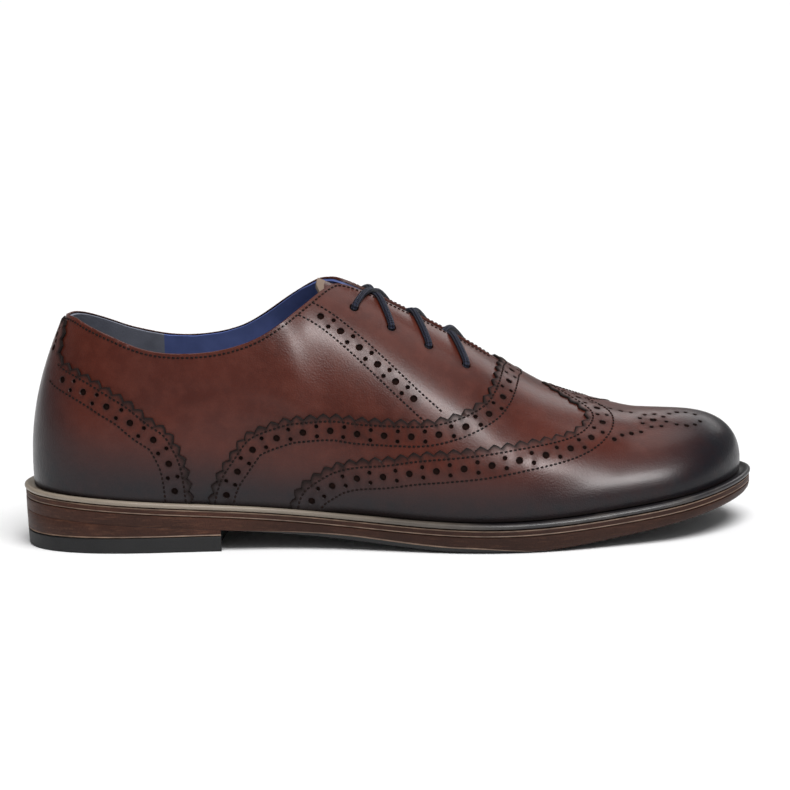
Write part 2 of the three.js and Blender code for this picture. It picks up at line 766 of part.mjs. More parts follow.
/**
 * Round lace over the facings, from an eyelet on one side (-1 outer, 1 inner) to the pair above on the other.
 * hump lifts it over the strand that it crosses; with a reach under 1 it dips into the throat and ends there.
 */
function laceStrand(lower, side, hump, reach) {
  const pieces = 10;
  const narrow = 4;
  const from = EYELETS[lower];
  const to = EYELETS[lower - 1];
  const lift = LACE_DIAMETER / 2 + LACE_CLEARANCE;
  const path = Array.from({ length: pieces + 1 }, (_, k) => {
    const share = (reach * k) / pieces;
    const across = side * THREE.MathUtils.lerp(1 - from.up, to.up - 1, share);
    const station = THREE.MathUtils.lerp(from.at, to.at, share);
    const at = across < 0 ? station : opposite(station);
    const dip = reach < 1 ? LACE_DIP * THREE.MathUtils.smoothstep(share, reach / 2, reach) : 0;
    const over = hump * Math.sin(Math.PI * share) ** narrow;
    return layer(at, 1 - Math.abs(across), lift + over - dip);
  });
  const round = new THREE.Shape();
  round.absarc(0, 0, LACE_DIAMETER / 2, 0, 2 * Math.PI);
  return toManifold(new THREE.ExtrudeGeometry(round, {
    steps: pieces,
    curveSegments: LACE_SIDES / 2,
    bevelEnabled: false,
    extrudePath: new THREE.CatmullRomCurve3(path, false, 'centripetal'),
  }));
}

/** The two strands that leave one pair of eyelets and cross, the inner one on top, joined where they meet. */
function makeLaceCrossing(lower, reach) {
  return toGeometry(laceStrand(lower, -1, 0, reach).add(laceStrand(lower, 1, LACE_PASS, reach)));
}

/** Material of one finish. */
function finish(color, roughness) {
  return new THREE.MeshStandardMaterial({ color, roughness, metalness: 0 });
}

const tanLeather = finish('#5f3226', 0.35);
const burnishedLeather = finish('#33211f', 0.3);
const edgeLeather = finish('#573b31', 0.55);
const blackRubber = finish('#1c1b1f', 0.7);
const liningLeather = finish('#26304a', 0.6);
const waxedLace = finish('#1b2233', 0.6);

const pieces = [
  ['outsole', makeOutsole(), edgeLeather],
  ['midsole', makeMidsole(), edgeLeather],
  ['welt', makeWelt(), burnishedLeather],
  ['heel_stack', makeHeelStack(), edgeLeather],
  ['heel_lift', makeHeelLift(), blackRubber],
  ['insole', makeInsole(), liningLeather],
  ['upper', makeUpper(), tanLeather],
  ['tongue', makeTongue(), tanLeather],
  ['heel_counter', makeCounter(), burnishedLeather],
  ['vamp', makeVamp(), tanLeather],
  ['wing_cap', makeWingCap(), burnishedLeather],
  ['lace_crossing_1', makeLaceCrossing(1, 1), waxedLace],
  ['lace_crossing_2', makeLaceCrossing(2, LACE_REACH), waxedLace],
  ['lace_crossing_3', makeLaceCrossing(3, LACE_REACH), waxedLace],
];

const shoe = new THREE.Group();
for (const [name, geometry, material] of pieces) {
  const mesh = new THREE.Mesh(geometry, material);
  mesh.name = name;
  shoe.add(mesh);
}

// The origin is the middle of the shoe's plan, on the floor.
const middle = new THREE.Box3().setFromObject(shoe).getCenter(new THREE.Vector3());
shoe.position.set(-middle.x, -middle.y, 0);

export default shoe;
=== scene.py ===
"""Right wingtip shoe: leather panels, punching, stitches, lining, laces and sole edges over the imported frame.

Every form is a numpy surface in millimetres on one shoe last, heel back at x = 0, and is turned to metres
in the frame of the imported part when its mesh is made.
"""

from __future__ import annotations

import logging
import math
from dataclasses import dataclass, field
from enum import Enum
from typing import Callable, Sequence

import bmesh
import bpy
import numpy as np
from mathutils import Matrix, Vector
from mathutils.geometry import delaunay_2d_cdt

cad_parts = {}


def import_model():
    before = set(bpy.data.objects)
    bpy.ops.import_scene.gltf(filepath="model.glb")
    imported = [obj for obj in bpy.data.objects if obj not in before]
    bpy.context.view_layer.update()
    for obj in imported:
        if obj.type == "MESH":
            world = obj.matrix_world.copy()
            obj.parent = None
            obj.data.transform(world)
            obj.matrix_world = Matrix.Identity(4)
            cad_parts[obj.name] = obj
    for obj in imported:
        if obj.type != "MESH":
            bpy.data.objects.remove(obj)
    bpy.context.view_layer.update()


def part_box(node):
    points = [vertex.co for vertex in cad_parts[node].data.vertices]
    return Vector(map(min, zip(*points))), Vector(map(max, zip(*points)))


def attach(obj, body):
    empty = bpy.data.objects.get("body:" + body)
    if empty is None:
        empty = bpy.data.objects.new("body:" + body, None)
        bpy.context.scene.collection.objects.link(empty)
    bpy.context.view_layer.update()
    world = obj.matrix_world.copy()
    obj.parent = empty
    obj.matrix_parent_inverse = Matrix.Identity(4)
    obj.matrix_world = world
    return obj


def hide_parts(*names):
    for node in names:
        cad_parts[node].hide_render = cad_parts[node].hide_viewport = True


LOG = logging.getLogger("shoe")
Array = np.ndarray
Rule = Callable[[Array], Array] | float
BODY = "root"
TO_METRES = 0.001


# ---- the last


class RowCurve:
    """Cubic curve through evenly numbered rows of a table, read by row number."""

    def __init__(self, rows: Array, closed: bool = False) -> None:
        """Solves for the bend of every row.

        Args:
            rows: one row of values for each number.
            closed: whether the last row is followed by the first.
        """
        self.rows = np.asarray(rows, float)
        self.closed = closed
        count = len(self.rows)
        ring = np.arange(count)
        matrix = 4.0 * np.eye(count)
        matrix[ring, (ring + 1) % count] += 1.0
        matrix[ring, (ring - 1) % count] += 1.0
        right = 6.0 * (np.roll(self.rows, 1, 0) - 2.0 * self.rows + np.roll(self.rows, -1, 0))
        if not closed:
            matrix[[0, -1]] = 0.0
            matrix[0, 0] = matrix[-1, -1] = 1.0
            right[[0, -1]] = 0.0
        self.bend = np.linalg.solve(matrix, right)

    def _place(self, place: Array) -> tuple[Array, Array, Array]:
        """Row before, row after and share of the way between them."""
        place = np.asarray(place, float)
        count = len(self.rows)
        bounded = np.mod(place, count) if self.closed else np.clip(place, 0.0, count - 1.0)
        start = np.minimum(np.floor(bounded).astype(int), count - (1 if self.closed else 2))
        return start, (start + 1) % count, (bounded - start)[..., None]

    def value(self, place: Array) -> Array:
        """Values of the curve at the row numbers in place."""
        start, stop, share = self._place(place)
        rest = 1.0 - share
        return (
            rest * self.rows[start]
            + share * self.rows[stop]
            + ((rest**3 - rest) * self.bend[start] + (share**3 - share) * self.bend[stop]) / 6.0
        )

    def slope(self, place: Array) -> Array:
        """Change of the values for each row number."""
        start, stop, share = self._place(place)
        rest = 1.0 - share
        return (
            self.rows[stop]
            - self.rows[start]
            + ((1.0 - 3.0 * rest**2) * self.bend[start] + (3.0 * share**2 - 1.0) * self.bend[stop]) / 6.0
        )


def unit(vectors: Array) -> Array:
    """Vectors of length one."""
    return vectors / np.maximum(np.linalg.norm(vectors, axis=-1, keepdims=True), 1e-9)


def ramp(low: float, high: float, value: Array) -> Array:
    """Smooth step from 0 at low to 1 at high: 3t squared less 2t cubed."""
    t = np.clip((np.asarray(value, float) - low) / (high - low), 0.0, 1.0)
    return t * t * (3.0 - 2.0 * t)


class Chart(Enum):
    """Two flat maps of the upper."""

    HEEL = "round the heel: station along, negative on the inner side; height share up"
    RIDGE = "over the ridge: station from the heel; outer side -1 at the sole, 0 on the ridge, inner side 1"


@dataclass
class Last:
    """The shoe's last, in millimetres, from the same sizes as the part's source."""

    length: float = 300.0
    ball_width: float = 104.0
    heel_width: float = 66.0
    collar_width: float = 45.0
    instep_rise: float = 100.0
    toe_rise: float = 29.2
    heel_rise: float = 13.1
    toe_spring: float = 9.9
    ledge: float = 5.6
    gap: float = 0.3
    welt: float = 1.8
    midsole: float = 2.5
    outsole: float = 6.9
    ridge_from: int = 6
    ridge_blend: float = 0.8
    # along, ball, outer, inner, ledge, top, topOuter, topInner, veer, instep, toe, flare, low, crown, high
    sections: tuple[tuple[float, ...], ...] = (
        (0, 0, 0, 0, 0.96, 0.080, 0, 0, 0, 0.748, 0, 2, 0.36, 64, 0.42),
        (0.030, 0, 0.311, 0.311, 0.82, 0.095, 0.233, 0.233, 0, 0.766, 0, 4, 0.36, 68, 0.38),
        (0.110, 0, 0.477, 0.470, 0.64, 0.140, 0.433, 0.422, 0, 0.804, 0, 9, 0.34, 76, 0.36),
        (0.203, 0, 0.508, 0.492, 0.57, 0.207, 0.500, 0.489, 0, 0.855, 0, 10, 0.33, 80, 0.35),
        (0.297, 0, 0.508, 0.447, 0.57, 0.287, 0.456, 0.444, 0, 0.933, 0, 10, 0.34, 72, 0.35),
        (0.387, 1, 0.337, 0.274, 0.61, 0.357, 0.244, 0.244, 0, 1.000, 0, 8, 0.36, 48, 0.33),
        (0.477, 1, 0.389, 0.313, 0.68, 0.433, 0, 0, 0, 0.942, 0, 8, 0.38, 6, 0.22),
        (0.567, 1, 0.457, 0.399, 0.77, 0.530, 0, 0, 0, 0.806, 0, 9, 0.36, 0, 0.26),
        (0.657, 1, 0.498, 0.476, 0.91, 0.623, 0, 0, 0, 0.600, 0.170, 10, 0.33, 0, 0.32),
        (0.747, 1, 0.481, 0.500, 0.99, 0.710, 0, 0, 0, 0.300, 0.580, 10, 0.30, 0, 0.38),
        (0.840, 1, 0.419, 0.457, 1.03, 0.790, 0, 0, 0.008, 0.100, 0.850, 10, 0.30, 0, 0.45),
        (0.938, 1, 0.298, 0.348, 1.07, 0.857, 0, 0, 0.015, 0, 0.980, 10, 0.34, 0, 0.50),
        (1.000, 1, -0.029, 0.029, 1.05, 0.887, 0, 0, 0.019, 0, 0.850, 8, 0.44, 0, 0.56),
    )
    # heel climb, toe spring, outsole thickness, as shares, at even steps from heel to toe
    side_line: tuple[tuple[float, ...], ...] = (
        (1.000, 0, 0.72),
        (0.832, 0, 0.72),
        (0.649, 0, 0.72),
        (0.496, 0, 0.72),
        (0.313, 0, 0.76),
        (0.130, 0, 0.88),
        (0.000, 0, 1.00),
        (0.000, 0, 1.00),
        (0.000, 0.19, 0.82),
        (0.000, 0.515, 0.62),
        (0.000, 1.000, 0.50),
    )
    origin: Array = field(default_factory=lambda: np.array([150.0, 0.0, 0.0]))

    def __post_init__(self) -> None:
        """Works out the loop of stations and the sole's side line."""
        self.stack = self.welt + self.midsole + self.outsole + 3.0 * self.gap
        self.side = RowCurve(np.array(self.side_line))
        outer = [self._station(row, -1) for row in self.sections]
        inner = [self._station(row, 1) for row in self.sections[1:-1]][::-1]
        self.loop = RowCurve(np.array(outer + inner), closed=True)
        self.toe = float(len(self.sections) - 1)
        self.whole = 2.0 * self.toe

    def _station(self, row: tuple[float, ...], side: int) -> list[float]:
        """One section's sizes in millimetres and radians, on the outer (-1) or inner (1) side."""
        along, ball, outer, inner, ledge, top, top_out, top_in, veer, instep, toe, flare, low, crown, high = row
        width = self.ball_width if ball else self.heel_width
        half_top = (top_out if side < 0 else top_in) * self.collar_width
        x = along * self.length
        return [
            x,
            side * (outer if side < 0 else inner) * width,
            ledge * self.ledge,
            top * self.length,
            side * half_top + veer * self.ball_width,
            float(self.seat(x)) + instep * self.instep_rise + toe * self.toe_rise,
            math.radians(flare),
            low,
            math.radians(crown),
            high,
        ]

    def side_at(self, x: Array) -> Array:
        """Heel climb, toe spring and outsole thickness at distances from the heel back."""
        return self.side.value(np.asarray(x, float) / self.length * (len(self.side_line) - 1))

    def seat(self, x: Array) -> Array:
        """Height of the seat on which the upper stands."""
        line = self.side_at(x)
        return self.stack + line[..., 0] * self.heel_rise + line[..., 1] * self.toe_spring

    def floor_line(self, x: Array) -> Array:
        """Height of the outsole's bottom."""
        top = self.seat(x) - self.stack + self.outsole
        return np.maximum(0.0, top - self.outsole * self.side_at(x)[..., 2])

    def edge(self, at: Array, inset: Array | float = 0.0) -> tuple[Array, Array]:
        """Plan points of the sole's edge moved inwards, and its outward directions.

        Args:
            at: stations.
            inset: how far inwards, in millimetres.

        Returns:
            The plan points, and the outward directions.
        """
        here = self.loop.value(at)
        run = unit(self.loop.slope(at)[..., :2])
        outward = np.stack([run[..., 1], -run[..., 0]], -1)
        inset = np.asarray(inset, float)
        return here[..., :2] - outward * (inset[..., None] if inset.ndim else inset), outward

    def ridge_share(self, at: Array) -> Array:
        """How far the tops of both sides have run together: 0 at the collar, 1 on the ridge."""
        heelward = np.minimum(at, self.whole - at)
        return ramp(self.ridge_from - self.ridge_blend, self.ridge_from, heelward)

    def crest(self, at: Array) -> Array:
        """Top of the last: each side has its own at the collar, and both share one ridge further on."""
        near = self.loop.value(at)[..., 3:6]
        far = self.loop.value(self.whole - at)[..., 3:6]
        return near + (far - near) * self.ridge_share(at)[..., None] / 2.0

    def ridge_slope(self, at: Array) -> Array:
        """Slope of the ridge along the shoe, 0 where the top is open."""
        steady = np.clip(np.minimum(at, self.whole - at), 0.1, self.toe - 0.1)
        before, after = self.crest(steady - 0.01), self.crest(steady + 0.01)
        slope = (after[..., 2] - before[..., 2]) / (after[..., 0] - before[..., 0])
        return np.clip(slope, -1.2, 1.2) * self.ridge_share(at)

    def surface(self, at: Array, up: Array) -> Array:
        """Points of the last: a cubic rib from the seat to the top, bowed by its flare and crown.

        Args:
            at: stations.
            up: height shares, 0 at the seat and 1 at the top.

        Returns:
            The points.
        """
        at = np.mod(np.asarray(at, float), self.whole)
        up = np.asarray(up, float)
        here = self.loop.value(at)
        plan, outward = self.edge(at, here[..., 2])
        foot = np.concatenate([plan, self.seat(plan[..., 0])[..., None]], -1)
        top = self.crest(at)
        chord = np.linalg.norm(top - foot, axis=-1)
        flare, low, crown, high = (here[..., k] for k in (6, 7, 8, 9))
        climb = np.concatenate([outward * np.sin(flare)[..., None], np.cos(flare)[..., None]], -1)
        rise = np.sin(crown) - np.cos(crown) * self.ridge_slope(at) * outward[..., 0]
        arrive = np.concatenate([-outward * np.cos(crown)[..., None], rise[..., None]], -1)
        first = foot + climb * (low * chord)[..., None]
        second = top - arrive * (high * chord)[..., None]
        t = up[..., None]
        s = 1.0 - t
        return s**3 * foot + 3 * s * s * t * first + 3 * s * t * t * second + t**3 * top

    def spot(self, chart: Chart, a: Array, b: Array) -> tuple[Array, Array]:
        """Station and height share of places on a chart."""
        if chart is Chart.HEEL:
            return a, b
        return np.where(b > 0.0, self.whole - a, a), 1.0 - np.abs(b)

    def on(self, chart: Chart, places: Array) -> Array:
        """Points of the last at places of a chart."""
        at, up = self.spot(chart, places[..., 0], places[..., 1])
        return self.surface(at, up)

    def tangents(self, chart: Chart, places: Array) -> tuple[Array, Array]:
        """Changes of the point for each unit of the chart's two coordinates."""
        step = 2e-3
        one, two = np.array([step, 0.0]), np.array([0.0, step])
        first = (self.on(chart, places + one) - self.on(chart, places - one)) / (2 * step)
        second = (self.on(chart, places + two) - self.on(chart, places - two)) / (2 * step)
        return first, second

    def normals(self, chart: Chart, places: Array) -> Array:
        """Outward directions; close to the ridge those of both its sides are shared.

        Args:
            chart: chart of the places.
            places: where on it.

        Returns:
            A unit vector for each place.
        """
        if chart is Chart.HEEL:
            return unit(np.cross(*self.tangents(chart, places)))
        beside = 0.02
        near, far = places.copy(), places.copy()
        on_ridge = np.abs(places[..., 1]) < beside
        near[..., 1] = np.where(on_ridge, -beside, places[..., 1])
        far[..., 1] = np.where(on_ridge, beside, places[..., 1])
        return unit(
            unit(np.cross(*self.tangents(chart, near))) + unit(np.cross(*self.tangents(chart, far)))
        )

    def layer(self, chart: Chart, places: Array, offset: Array | float) -> Array:
        """Points over (positive) or under (negative) the last, with the leather's soft creases.

        Args:
            chart: chart of the places.
            places: where on it.
            offset: millimetres over the last.

        Returns:
            The points.
        """
        height = np.broadcast_to(np.asarray(offset, float), places.shape[:-1])
        height = height + soft_creases(self.on(chart, places))
        return self.on(chart, places) + self.normals(chart, places) * height[..., None]

    def shift(self, chart: Chart, places: Array, along: Array, millimetres: Array) -> Array:
        """Places moved on the surface: millimetres along directions in space, solved in the tangent plane.

        Args:
            chart: chart of the places.
            places: where on it.
            along: unit vectors in space.
            millimetres: how far to move each place.

        Returns:
            The moved places.
        """
        first, second = self.tangents(chart, places)
        step = along * np.asarray(millimetres, float)[..., None]
        a, b, c = (np.sum(u * v, -1) for u, v in ((first, first), (first, second), (second, second)))
        d, e = np.sum(first * step, -1), np.sum(second * step, -1)
        spread = np.maximum(a * c - b * b, 1e-9)
        return places + np.stack([(c * d - b * e) / spread, (a * e - b * d) / spread], -1)


# Soft creases of worn leather, sizes in millimetres: middle x, z, lean of the crease in degrees, half length,
# half width, depth. They fan out behind the laced strip, under the ankle and where the foot bends.
CREASES: tuple[tuple[float, ...], ...] = (
    (108.0, 75.0, -30.0, 13.0, 1.7, 0.16),
    (111.0, 70.0, -26.0, 16.0, 1.9, 0.20),
    (115.0, 65.0, -22.0, 15.0, 1.7, 0.16),
    (107.0, 59.0, -16.0, 18.0, 2.4, 0.16),
    (76.0, 66.0, 6.0, 20.0, 2.8, 0.14),
    (60.0, 57.0, 14.0, 15.0, 2.6, 0.12),
    (196.0, 54.0, 115.0, 14.0, 3.2, 0.16),
    (207.0, 48.0, 112.0, 13.0, 3.4, 0.14),
)


def soft_creases(points: Array) -> Array:
    """Height of the creases: each a trough, minus depth times two bell curves, along and across its line.

    Args:
        points: points of the last.

    Returns:
        Height at each point, in millimetres.
    """
    height = np.zeros(points.shape[:-1])
    for x, z, lean, length, width, depth in CREASES:
        turn = math.radians(lean)
        dx, dz = points[..., 0] - x, points[..., 2] - z
        along = dx * math.cos(turn) + dz * math.sin(turn)
        across = dz * math.cos(turn) - dx * math.sin(turn) + 0.012 * along**2
        height -= depth * np.exp(-((along / length) ** 2) - (across / width) ** 2)
    return height


# ---- lines drawn on the last

TOPLINE = np.array([
    (0, 0.935, 0.935), (0.25, 0.936, 0.934), (0.5, 0.935, 0.93), (0.75, 0.93, 0.92), (1.05, 0.915, 0.9),
    (1.4, 0.885, 0.868), (1.8, 0.847, 0.825), (2.15, 0.81, 0.785), (2.5, 0.768, 0.752), (2.9, 0.727, 0.718),
    (3.35, 0.698, 0.692), (3.8, 0.681, 0.682), (4.2, 0.676, 0.688), (4.6, 0.678, 0.71), (5.0, 0.687, 0.733),
    (5.35, 0.702, 0.752), (5.65, 0.73, 0.785), (5.85, 0.77, 0.823), (6.0, 0.818, 0.855), (6.12, 0.868, 0.89),
    (6.24, 0.9, 0.912), (6.45, 0.925, 0.93), (6.8, 0.943, 0.945), (7.2, 0.95, 0.95), (7.6, 0.954, 0.954),
    (8.0, 0.963, 0.963), (8.25, 0.98, 0.98), (8.4, 1, 1),
])
COUNTER_EDGE = np.array([
    (0, 0.905), (0.22, 0.905), (0.44, 0.903), (0.62, 0.894), (0.74, 0.86), (0.84, 0.76), (1.0, 0.7), (1.2, 0.675),
    (1.4, 0.655), (1.65, 0.628), (1.95, 0.59), (2.25, 0.542), (2.56, 0.487), (2.85, 0.413), (3.12, 0.35),
    (3.27, 0.269), (3.37, 0.18), (3.41, 0.06), (3.415, 0.0),
])
CAP_EDGE = np.array([
    (4.87, 0.0), (4.925, 0.05), (5.05, 0.094), (5.225, 0.125), (5.425, 0.15), (5.65, 0.169), (6.025, 0.188),
    (6.425, 0.208), (6.85, 0.242), (7.25, 0.273), (7.85, 0.325), (8.375, 0.394), (8.925, 0.488), (9.3, 0.575),
    (9.5, 0.656), (9.6, 0.731), (9.575, 0.8), (9.425, 0.869), (9.25, 0.931), (9.1, 1),
])
VAMP_EDGE = np.array([
    (3.66, 0.0), (3.7, 0.05), (3.8, 0.131), (3.975, 0.206), (4.15, 0.269), (4.3, 0.306), (4.52, 0.326),
    (4.8, 0.338), (5.0, 0.341), (5.15, 0.338), (5.35, 0.332), (5.6, 0.325), (5.85, 0.32), (6.15, 0.319),
    (6.55, 0.336), (6.9, 0.358), (7.2, 0.384), (7.5, 0.425), (7.73, 0.469), (7.92, 0.52), (8.07, 0.58),
    (8.225, 0.688), (8.34, 0.825), (8.4, 0.93), (8.44, 1),
])
# Holes of one half of the toe's punched flower: millimetres ahead of its middle and across, and radius.
MEDALLION_ARMS: tuple[tuple[float, float, float], ...] = (
    (-7.2, 7.8, 0.72), (-11.4, 8.6, 0.9), (-15.6, 9.6, 0.72), (-19.4, 11.8, 0.9),
    (8.6, 4.6, 0.72), (12.6, 5.8, 0.9), (16.4, 5.2, 0.72), (19.6, 2.8, 0.72),
)
# Holes of one side of the counter's tail: station, height share and radius.
TAIL_HOLES: tuple[tuple[float, float, float], ...] = (
    (0.4, 0.868, 0.72), (0.4, 0.832, 1.25), (0.5, 0.8, 0.72), (0.5, 0.764, 1.25),
)
EYELETS = np.array([(6.4, 0.756), (6.9, 0.74), (7.4, 0.738), (7.9, 0.731)])
STRIP = np.array([(5.60, 0.715), (7.26, 0.403)])


def over_ridge(rows: Array) -> Array:
    """Line on the ridge chart from station and height share: up the outer side and down the inner one."""
    half = np.stack([rows[:, 0], rows[:, 1] - 1.0], -1)
    return np.concatenate([half, half[::-1][1:] * np.array([1.0, -1.0])])


def mirror_heel(line: Array) -> Array:
    """The same line of the heel chart on the other side, run backwards."""
    return line[::-1] * np.array([-1.0, 1.0])


def trace(last: Last, chart: Chart, line: Array, pitch: float, parts: int = 1, smooth: bool = True) -> Array:
    """Places along a line at even real spacing: the line is made dense, measured on the last and cut evenly.

    Args:
        last: the last it lies on.
        chart: the chart of its places.
        line: its rows.
        pitch: spacing in millimetres.
        parts: the number of steps is a multiple of this.
        smooth: a cubic curve through the rows, or straight pieces.

    Returns:
        Places from the first row to the last one.
    """
    rows = np.linspace(0.0, len(line) - 1.0, 40 * len(line))
    if smooth:
        dense = RowCurve(line).value(rows)
    else:
        dense = np.stack([np.interp(rows, np.arange(len(line)), line[:, k]) for k in (0, 1)], -1)
    run = run_along(last.on(chart, dense))
    count = max(1, round(run[-1] / (pitch * parts))) * parts
    even = np.linspace(0.0, run[-1], count + 1)
    return np.stack([np.interp(even, run, dense[:, k]) for k in (0, 1)], -1)


def frames(last: Last, chart: Chart, places: Array) -> tuple[Array, Array, Array]:
    """Directions along a line, to its left on the surface, and outwards: left is outward crossed with along.

    Args:
        last: the last it lies on.
        chart: the chart of its places.
        places: the line's places in order.

    Returns:
        Unit vectors along the line, to its left and outwards.
    """
    points = last.on(chart, places)
    along = unit(np.gradient(points, axis=0))
    outward = last.normals(chart, places)
    left = unit(np.cross(outward, along))
    return unit(np.cross(left, outward)), left, outward


def beside(last: Last, chart: Chart, places: Array, distance: Array | float) -> Array:
    """The line moved to its left by a distance in millimetres.

    Args:
        last: the last it lies on.
        chart: the chart of its places.
        places: the line's places in order.
        distance: millimetres to the left, or to the right if negative.

    Returns:
        The moved places.
    """
    left = frames(last, chart, places)[1]
    return last.shift(chart, places, left, np.broadcast_to(distance, places.shape[:1]))


def inside(places: Array, outline: Array) -> Array:
    """Whether places lie in a closed outline: the number of its edges to their right is odd.

    Args:
        places: what to test.
        outline: corners of the outline in order.

    Returns:
        True or false for each place.
    """
    x, y = places[:, 0][:, None], places[:, 1][:, None]
    x1, y1 = outline[:, 0][None], outline[:, 1][None]
    x2, y2 = np.roll(outline[:, 0], -1)[None], np.roll(outline[:, 1], -1)[None]
    rise = np.where(np.abs(y2 - y1) < 1e-12, 1e-12, y2 - y1)
    crossing = ((y1 > y) != (y2 > y)) & (x < (x2 - x1) * (y - y1) / rise + x1)
    return crossing.sum(1) % 2 == 1


def nearest(points: Array, others: Array) -> Array:
    """Distance from each point to the nearest of the others, worked out in parts of about 200.

    Args:
        points: what to measure from.
        others: what to measure to.

    Returns:
        A distance for each point.
    """
    parts = np.array_split(others, max(1, len(others) // 200))
    return np.min([np.linalg.norm(points[:, None] - part[None], axis=-1).min(1) for part in parts], axis=0)


def run_along(points: Array) -> Array:
    """Length of the way from the first point to each one."""
    return np.concatenate([[0.0], np.cumsum(np.linalg.norm(np.diff(points, axis=0), axis=1))])


# ---- meshes


@dataclass
class Solid:
    """Points in millimetres and groups of faces of one piece, with values for its material."""

    points: Array
    faces: Sequence[Array]
    values: dict[str, Array] = field(default_factory=dict)
    slots: Array | None = None


def make_piece(last: Last, name: str, solid: Solid, materials: Sequence[bpy.types.Material],
               stands_for: Sequence[str] = (), crease: float = 58.0, weld: float = 0.0) -> bpy.types.Object:
    """Turns a solid into a piece of the scene, in metres in the part's frame.

    Args:
        last: gives the shift between the last and the part's frame.
        name: the piece's name.
        solid: points, faces and values.
        materials: one for each slot number of the solid.
        stands_for: nodes of the part that it replaces.
        crease: edges sharper than this, in degrees, stay sharp.
        weld: points closer than this, in millimetres, become one.

    Returns:
        The new object.
    """
    mesh = bpy.data.meshes.new(name)
    faces = [tuple(face) for group in solid.faces for face in group.tolist()]
    mesh.from_pydata(((solid.points - last.origin) * TO_METRES).tolist(), [], faces)
    for key, values in solid.values.items():
        layer = mesh.attributes.new(key, "FLOAT", "POINT")
        layer.data.foreach_set("value", np.asarray(values, np.float32))
    if solid.slots is not None:
        mesh.polygons.foreach_set("material_index", np.asarray(solid.slots, np.int32))
    for material in materials:
        mesh.materials.append(material)
    piece = bpy.data.objects.new(name, mesh)
    bpy.context.scene.collection.objects.link(piece)
    if weld:
        sheet = bmesh.new()
        sheet.from_mesh(mesh)
        bmesh.ops.remove_doubles(sheet, verts=sheet.verts, dist=weld * TO_METRES)
        sheet.to_mesh(mesh)
        sheet.free()
    mesh.shade_smooth()
    mesh.set_sharp_from_angle(angle=math.radians(crease))
    mesh.update()
    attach(piece, BODY)
    if stands_for:
        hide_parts(*stands_for)
    LOG.info("%s: %d points, %d faces", name, len(mesh.vertices), len(mesh.polygons))
    return piece


def grid_faces(rows: int, columns: int, close_rows: bool = False, close_columns: bool = False) -> Array:
    """Faces of a grid of points numbered row by row, with its last row or column joined to the first if asked.

    Args:
        rows: rows of points.
        columns: points in a row.
        close_rows: joins the last row to the first.
        close_columns: joins the last column to the first.

    Returns:
        Four point numbers for each face.
    """
    i = np.arange(rows if close_rows else rows - 1)
    j = np.arange(columns if close_columns else columns - 1)
    i, j = (part.ravel() for part in np.meshgrid(i, j, indexing="ij"))
    i2, j2 = (i + 1) % rows, (j + 1) % columns
    return np.stack([i * columns + j, i2 * columns + j, i2 * columns + j2, i * columns + j2], -1)


# ---- leather panels


@dataclass
class Hole:
    """A punched hole: its place on the chart and its radius in millimetres."""

    place: Array
    radius: float


@dataclass
class Edge:
    """One stretch of a panel's outline, run with the leather to its left.

    pinked edges are cut in teeth; joined ones meet another stretch of the same panel.
    """

    line: Array
    pinked: bool = False
    joined: bool = False
    smooth: bool = True


def straight_edge(*corners: Array | Sequence[float], joined: bool = False) -> Edge:
    """A plain edge in straight pieces from corner to corner."""
    return Edge(np.array(corners), joined=joined, smooth=False)


def even(height: float) -> Callable[[Array], Array]:
    """Height rule of leather that lies at one height over the last."""
    return lambda places: np.full(len(places), height)


@dataclass
class Net:
    """Places of a panel on its chart as they are added, with their values.

    level is 1 where the surface drops by the bevel, dark the share of cut-edge colour, which round the holes is partly
    painted shade, hole a hole's number.
    """

    places: list[Array] = field(default_factory=list)
    edges: list[Array] = field(default_factory=list)
    level: list[Array] = field(default_factory=list)
    dark: list[Array] = field(default_factory=list)
    hole: list[Array] = field(default_factory=list)
    count: int = 0

    def add(self, places: Array, level: Array | float, dark: Array | float, hole: int = -1,
            ring: bool = False) -> None:
        """Adds places, joined to a closed ring of edges if asked.

        Args:
            places: the places.
            level: bevel value.
            dark: colour value.
            hole: the hole they bound.
            ring: whether they close a ring.
        """
        size = len(places)
        if ring:
            turn = np.arange(size)
            self.edges.append(self.count + np.stack([turn, (turn + 1) % size], -1))
        for store, value in ((self.level, level), (self.dark, dark), (self.hole, hole)):
            store.append(np.broadcast_to(value, size))
        self.places.append(places)
        self.count += size


